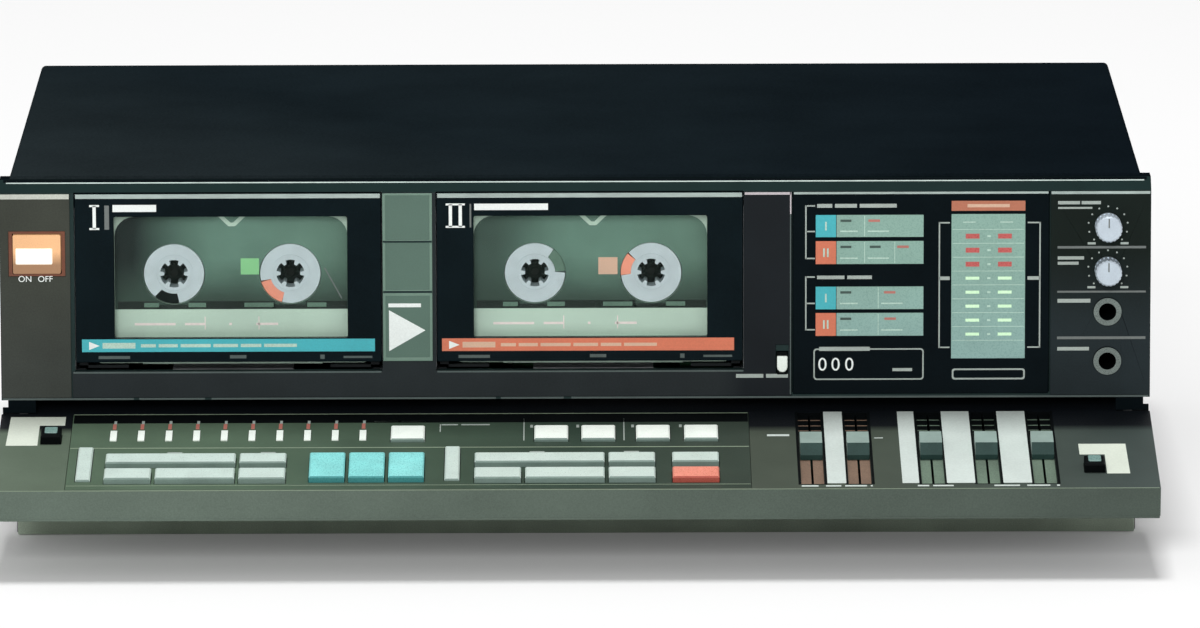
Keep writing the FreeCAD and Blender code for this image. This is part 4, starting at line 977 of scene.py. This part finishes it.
def fader_marks():
    """Broad stripes between the faders, and the small marks at their foot and sides."""
    stripes = ((90.4, 97.2), (117.4, 123.4), (133.4, 143.6), (153.7, 164.0))
    marks("fader_stripes", bar_row(stripes, 5.8, FELT_HIGH), STRIPE, **FLAT)
    feet = ((81.1, 87.1), (89.8, 95.3), (96.7, 104.5), (105.9, 106.6), (122.8, 126.9), (128.3, 135.7),
            (150.3, 159.5), (162.1, 170.4), (172.8, 173.9))
    marks("fader_foot_marks", bar_row(feet, 2.6, 3.8), STRIPE, **FLAT)
    sides = [(69.5, 77.6, 52.6, 54.4), (108.4, 111.6, 50.2, 50.8)]
    marks("fader_side_marks", sides, STRIPE, **FLAT)


def plate_marks():
    """Rules, dark rear strip and small words on the key plate."""
    heights = ((42.2, 42.8), (76.0, 76.5), (5.2, 5.5))
    marks("plate_rules", [(PLATE_LEFT, PLATE_RIGHT, low, high) for low, high in heights], LINE, **FLAT)
    marks("plate_rear_strip", [(PLATE_LEFT + 0.1, PLATE_RIGHT, 67.4, 75.8)], GLOOM, **FLAT)
    words = [(-73.5, -64.8, 68.0, 69.0), (-63.6, -54.6, 68.0, 69.0), (-49.0, -43.0, 64.6, 65.6),
             (-41.8, -31.4, 64.6, 65.6), (-49.6, -49.2, 58.0, 65.6)]
    words += [(a, a + 0.4, 49.0, 71.0) for a in (-19.1, 17.3)]
    words += [(a, a + 1.0, 62.0, 64.6) for a in (-16.6, 0.2, 20.2, 37.6)]
    words += [(a, a + 5.4, 37.4, 38.2) for a in (-148.0, -114.2, -16.8, 17.4)]
    words += [(a, a + 3.6, 20.4, 21.2) for a in (-141.0, -9.0)]
    marks("plate_words", words, PALE, **FLAT)


def drawer_edges():
    """Lip and painted highlight along the drawer's front edge, and painted shade in the corners at its rear.
    """
    shape("drawer_lip", box(-DRAWER_HALF, DRAWER_HALF, 0.05, 1.0), -11.7, -10.5, SLAB, edge=0.3,
          slot="control_drawer", **ON_DRAWER)
    half = DRAWER_HALF - 0.2
    # Painted shade in the drawer's rear corners.
    rear_corner_shade = bmesh.new()
    for turn in (-1, 1):
        solid(rear_corner_shade, box(*sorted((turn * 203.5, turn * half)), 77.0, 78.8), -0.8, -0.05)
    piece("drawer_rear_corner_shade", rear_corner_shade, GLOOM, slot="control_drawer", **ON_DRAWER)
    marks("drawer_edge_highlight", [(-half, half, 0.15, 0.55)], LINE, **FLAT)


def lamp_marks():
    """Red and white marks above each track lamp."""
    first, pitch = -168.2, 10.08
    reds, dots = [], []
    for n in range(10):
        a = first + pitch * n
        reds.append((a - 0.55, a + 0.75, 61.2, 66.4))
        dots.append((a - 0.2, a + 0.8, 66.6, 69.4))
    marks("lamp_red_marks", reds, SMALL_RED, level=0.05, **ON_DRAWER)
    marks("lamp_white_marks", dots, PALE, level=0.05, **ON_DRAWER)


def key_finish(top, front, *names):
    """Finish of some keys, with painted shade on the faces that look forward."""
    dress(top, *names)
    for name in names:
        dress_where(name, front, DRAWER, lambda spot, facing: facing.y < -0.4)


def keys():
    """Finishes of every key, and the drawer's two small buttons with painted highlights on their tops."""
    for side in ("left", "right"):
        key_finish(KEY, KEY_FRONT_SHADE, *["%s_%s_key" % (side, job) for job in
                                     ("play", "stop", "rewind", "wind", "pause", "eject")])
    key_finish(KEY, KEY_FRONT_SHADE, "mute_key")
    # The rear keys carry a little painted glow.
    key_finish(PAINTED_GLOW_KEY, KEY_FRONT_SHADE, "clear_key", "tape_key", "filter_key", "repeat_key", "timer_key")
    key_finish(TURQUOISE, TURQUOISE_FRONT_SHADE, "normal_dub_key", "fast_dub_key", "sync_dub_key")
    key_finish(RECORD, RECORD_FRONT_SHADE, "record_key")
    dress(GLOOM, "left_drawer_button", "right_drawer_button")
    for side, a, b in (("left", -194.4, 46.8), ("right", 183.4, 15.6)):
        lit_top = rounded(a + 1.4, a + 6.0, b + 2.6, b + 8.2, 0.6)
        shape(side + "_button_top_highlight", lit_top, 3.15, 3.6, BUTTON_HIGHLIGHT, place=DRAWER, edge=0.15,
              **own(side + "_drawer_button"))


def faders():
    """Fader knobs with painted shade on their fronts, and each channel's felt floor, rear marks and dark
    surround.
    """
    for number, a in enumerate(FADERS, start=1):
        name = "fader_%d" % number
        key_finish(GRIP, GRIP_FRONT_SHADE, name)
        felt = BROWN if number < 3 else OLIVE
        halves = ((a - CHANNEL_HALF, a - SLIT_HALF), (a + SLIT_HALF, a + CHANNEL_HALF))
        low = bar_row(halves, FELT_LOW, FELT_MIDDLE)
        high = bar_row(halves, FELT_MIDDLE, FELT_HIGH)
        channel = {"level": -1.4, "thick": 0.2, **ON_DRAWER}
        marks(name + "_felt", low, felt, **channel)
        marks(name + "_felt_rear", high, GLOOM, **channel)
        ribs = [(a0, a1, b, b + 0.7) for b in (60.5, 65.5, 71.0) for a0, a1 in halves]
        marks(name + "_ribs", ribs, felt, level=-1.2, thick=0.05, **ON_DRAWER)
        shape(name + "_surround", box(a - 5.2, a + 5.2, 4.6, 77.1), -SUNK, 0.05, GLOOM,
              holes=[box(a - 4.25, a + 4.25, 5.05, 77.05)], **ON_DRAWER)


def rear():
    """Finishes of the sockets at the rear."""
    dress(HOLDER, "line_sockets", "mains_inlet")
    dress_where("line_sockets", RING, FRONT, lambda spot, facing: spot.z < -245.5)
    dress_where("mains_inlet", STEEL, FRONT, lambda spot, facing:
                min(abs(spot.x - 129), abs(spot.x - 137)) < 1.3 and abs(spot.y - 39.2) < 1.3)


case_finishes()
fascia_panels()
fascia_lines()
under_fascia()
centre_column()
decks()
display()
counter()
level_meter()
power_button()
reset_button()
knobs_and_jacks()
right_end_printing()
drawer_finishes()
corner_marks()
fader_marks()
plate_marks()
drawer_edges()
lamp_marks()
keys()
faders()
rear()


# Floor, lights and camera

# Half the floor's width in metres, how much of it is plain white where it is seen, and the world's light
FLOOR_HALF = 12
FLOOR_LIFT = 0.08
WORLD_LIGHT = 0.5

# Where the lamps aim, in metres
LIT_SPOT = (0, -0.08, 0.05)

# Camera: height of its aim and distance in metres, its tilt and roll, its lens in pixels of the picture,
# and how many pixels its aim lies left of the picture's middle
AIM_HEIGHT = 0.082
DISTANCE = 3.812
ELEVATION = math.radians(11.0)
ROLL = math.radians(-0.15)
LENS_PIXELS = 10438.0
IMAGE_WIDE = 1200.0
CENTRE_OFF = 24.5
SENSOR_WIDE = 36.0


def floor():
    """Pale floor that looks white to the camera and keeps the shadow."""
    bm = bmesh.new()
    bmesh.ops.create_grid(bm, x_segments=1, y_segments=1, size=FLOOR_HALF)
    mesh = bpy.data.meshes.new("floor")
    bm.to_mesh(mesh)
    bm.free()
    ground = bpy.data.objects.new("floor", mesh)
    bpy.context.scene.collection.objects.link(ground)
    material = bpy.data.materials.new("floor")
    material.use_nodes = True
    tree = material.node_tree
    tree.nodes.clear()
    out = tree.nodes.new("ShaderNodeOutputMaterial")
    plain = tree.nodes.new("ShaderNodeBsdfDiffuse")
    plain.inputs["Color"].default_value = (0.9, 0.9, 0.9, 1)
    white = tree.nodes.new("ShaderNodeEmission")
    share = tree.nodes.new("ShaderNodeMixShader")
    link(tree, seen_share(tree, FLOOR_LIFT), share.inputs["Fac"])
    link(tree, plain.outputs[0], share.inputs[1])
    link(tree, white.outputs[0], share.inputs[2])
    link(tree, share.outputs[0], out.inputs["Surface"])
    mesh.materials.append(material)


def seen_share(tree, share):
    """A share for what the camera, a mirror or a clear piece shows, and nought for other light."""
    path = tree.nodes.new("ShaderNodeLightPath")
    total = path.outputs["Is Camera Ray"]
    for name in ("Is Glossy Ray", "Is Transmission Ray"):
        most = tree.nodes.new("ShaderNodeMath")
        most.operation = "MAXIMUM"
        link(tree, total, most.inputs[0])
        link(tree, path.outputs[name], most.inputs[1])
        total = most.outputs[0]
    part = tree.nodes.new("ShaderNodeMath")
    part.operation = "MULTIPLY"
    part.inputs[1].default_value = share
    link(tree, total, part.inputs[0])
    return part.outputs[0]


def world():
    """Even pale light all round, white where it is seen."""
    sky = bpy.data.worlds.new("studio")
    bpy.context.scene.world = sky
    sky.use_nodes = True
    tree = sky.node_tree
    tree.nodes.clear()
    out = tree.nodes.new("ShaderNodeOutputWorld")
    back = tree.nodes.new("ShaderNodeBackground")
    link(tree, ranged(tree, seen_share(tree, 1.0), WORLD_LIGHT, 1.0, 0.0, 1.0), back.inputs["Strength"])
    link(tree, back.outputs[0], out.inputs["Surface"])


def lamp(name, spot, size, power):
    """Square soft light at a spot in metres, aimed at the deck."""
    light = bpy.data.lights.new(name, "AREA")
    light.size = size
    light.energy = power
    thing = bpy.data.objects.new(name, light)
    bpy.context.scene.collection.objects.link(thing)
    thing.location = spot
    thing.rotation_euler = (Vector(LIT_SPOT) - Vector(spot)).to_track_quat("-Z", "Y").to_euler()


def camera():
    """Long lens a little above the fascia, turned slightly so that the deck sits left of centre."""
    scene = bpy.context.scene
    seen = bpy.data.cameras.new("camera")
    seen.sensor_width = SENSOR_WIDE
    seen.lens = SENSOR_WIDE * LENS_PIXELS / IMAGE_WIDE
    seen.clip_end = 100.0
    thing = bpy.data.objects.new("camera", seen)
    scene.collection.objects.link(thing)
    aim = Vector((0, FRONT_Y * MM, AIM_HEIGHT))
    spot = aim + DISTANCE * Vector((0, -math.cos(ELEVATION), math.sin(ELEVATION)))
    turn = -math.atan(CENTRE_OFF / LENS_PIXELS) / math.cos(ELEVATION)
    aimed = Matrix.Rotation(turn, 4, "Z") @ Matrix.Rotation(math.radians(90) - ELEVATION, 4, "X")
    thing.matrix_world = Matrix.Translation(spot) @ aimed @ Matrix.Rotation(ROLL, 4, "Z")
    scene.camera = thing


floor()
world()
lamp("top_light", (0, 0.5, 4.0), size=1.0, power=97.0)
lamp("front_light", (-0.6, -5.2, 2.2), size=1.6, power=132.0)
camera()
bpy.context.scene.view_settings.view_transform = "Standard"
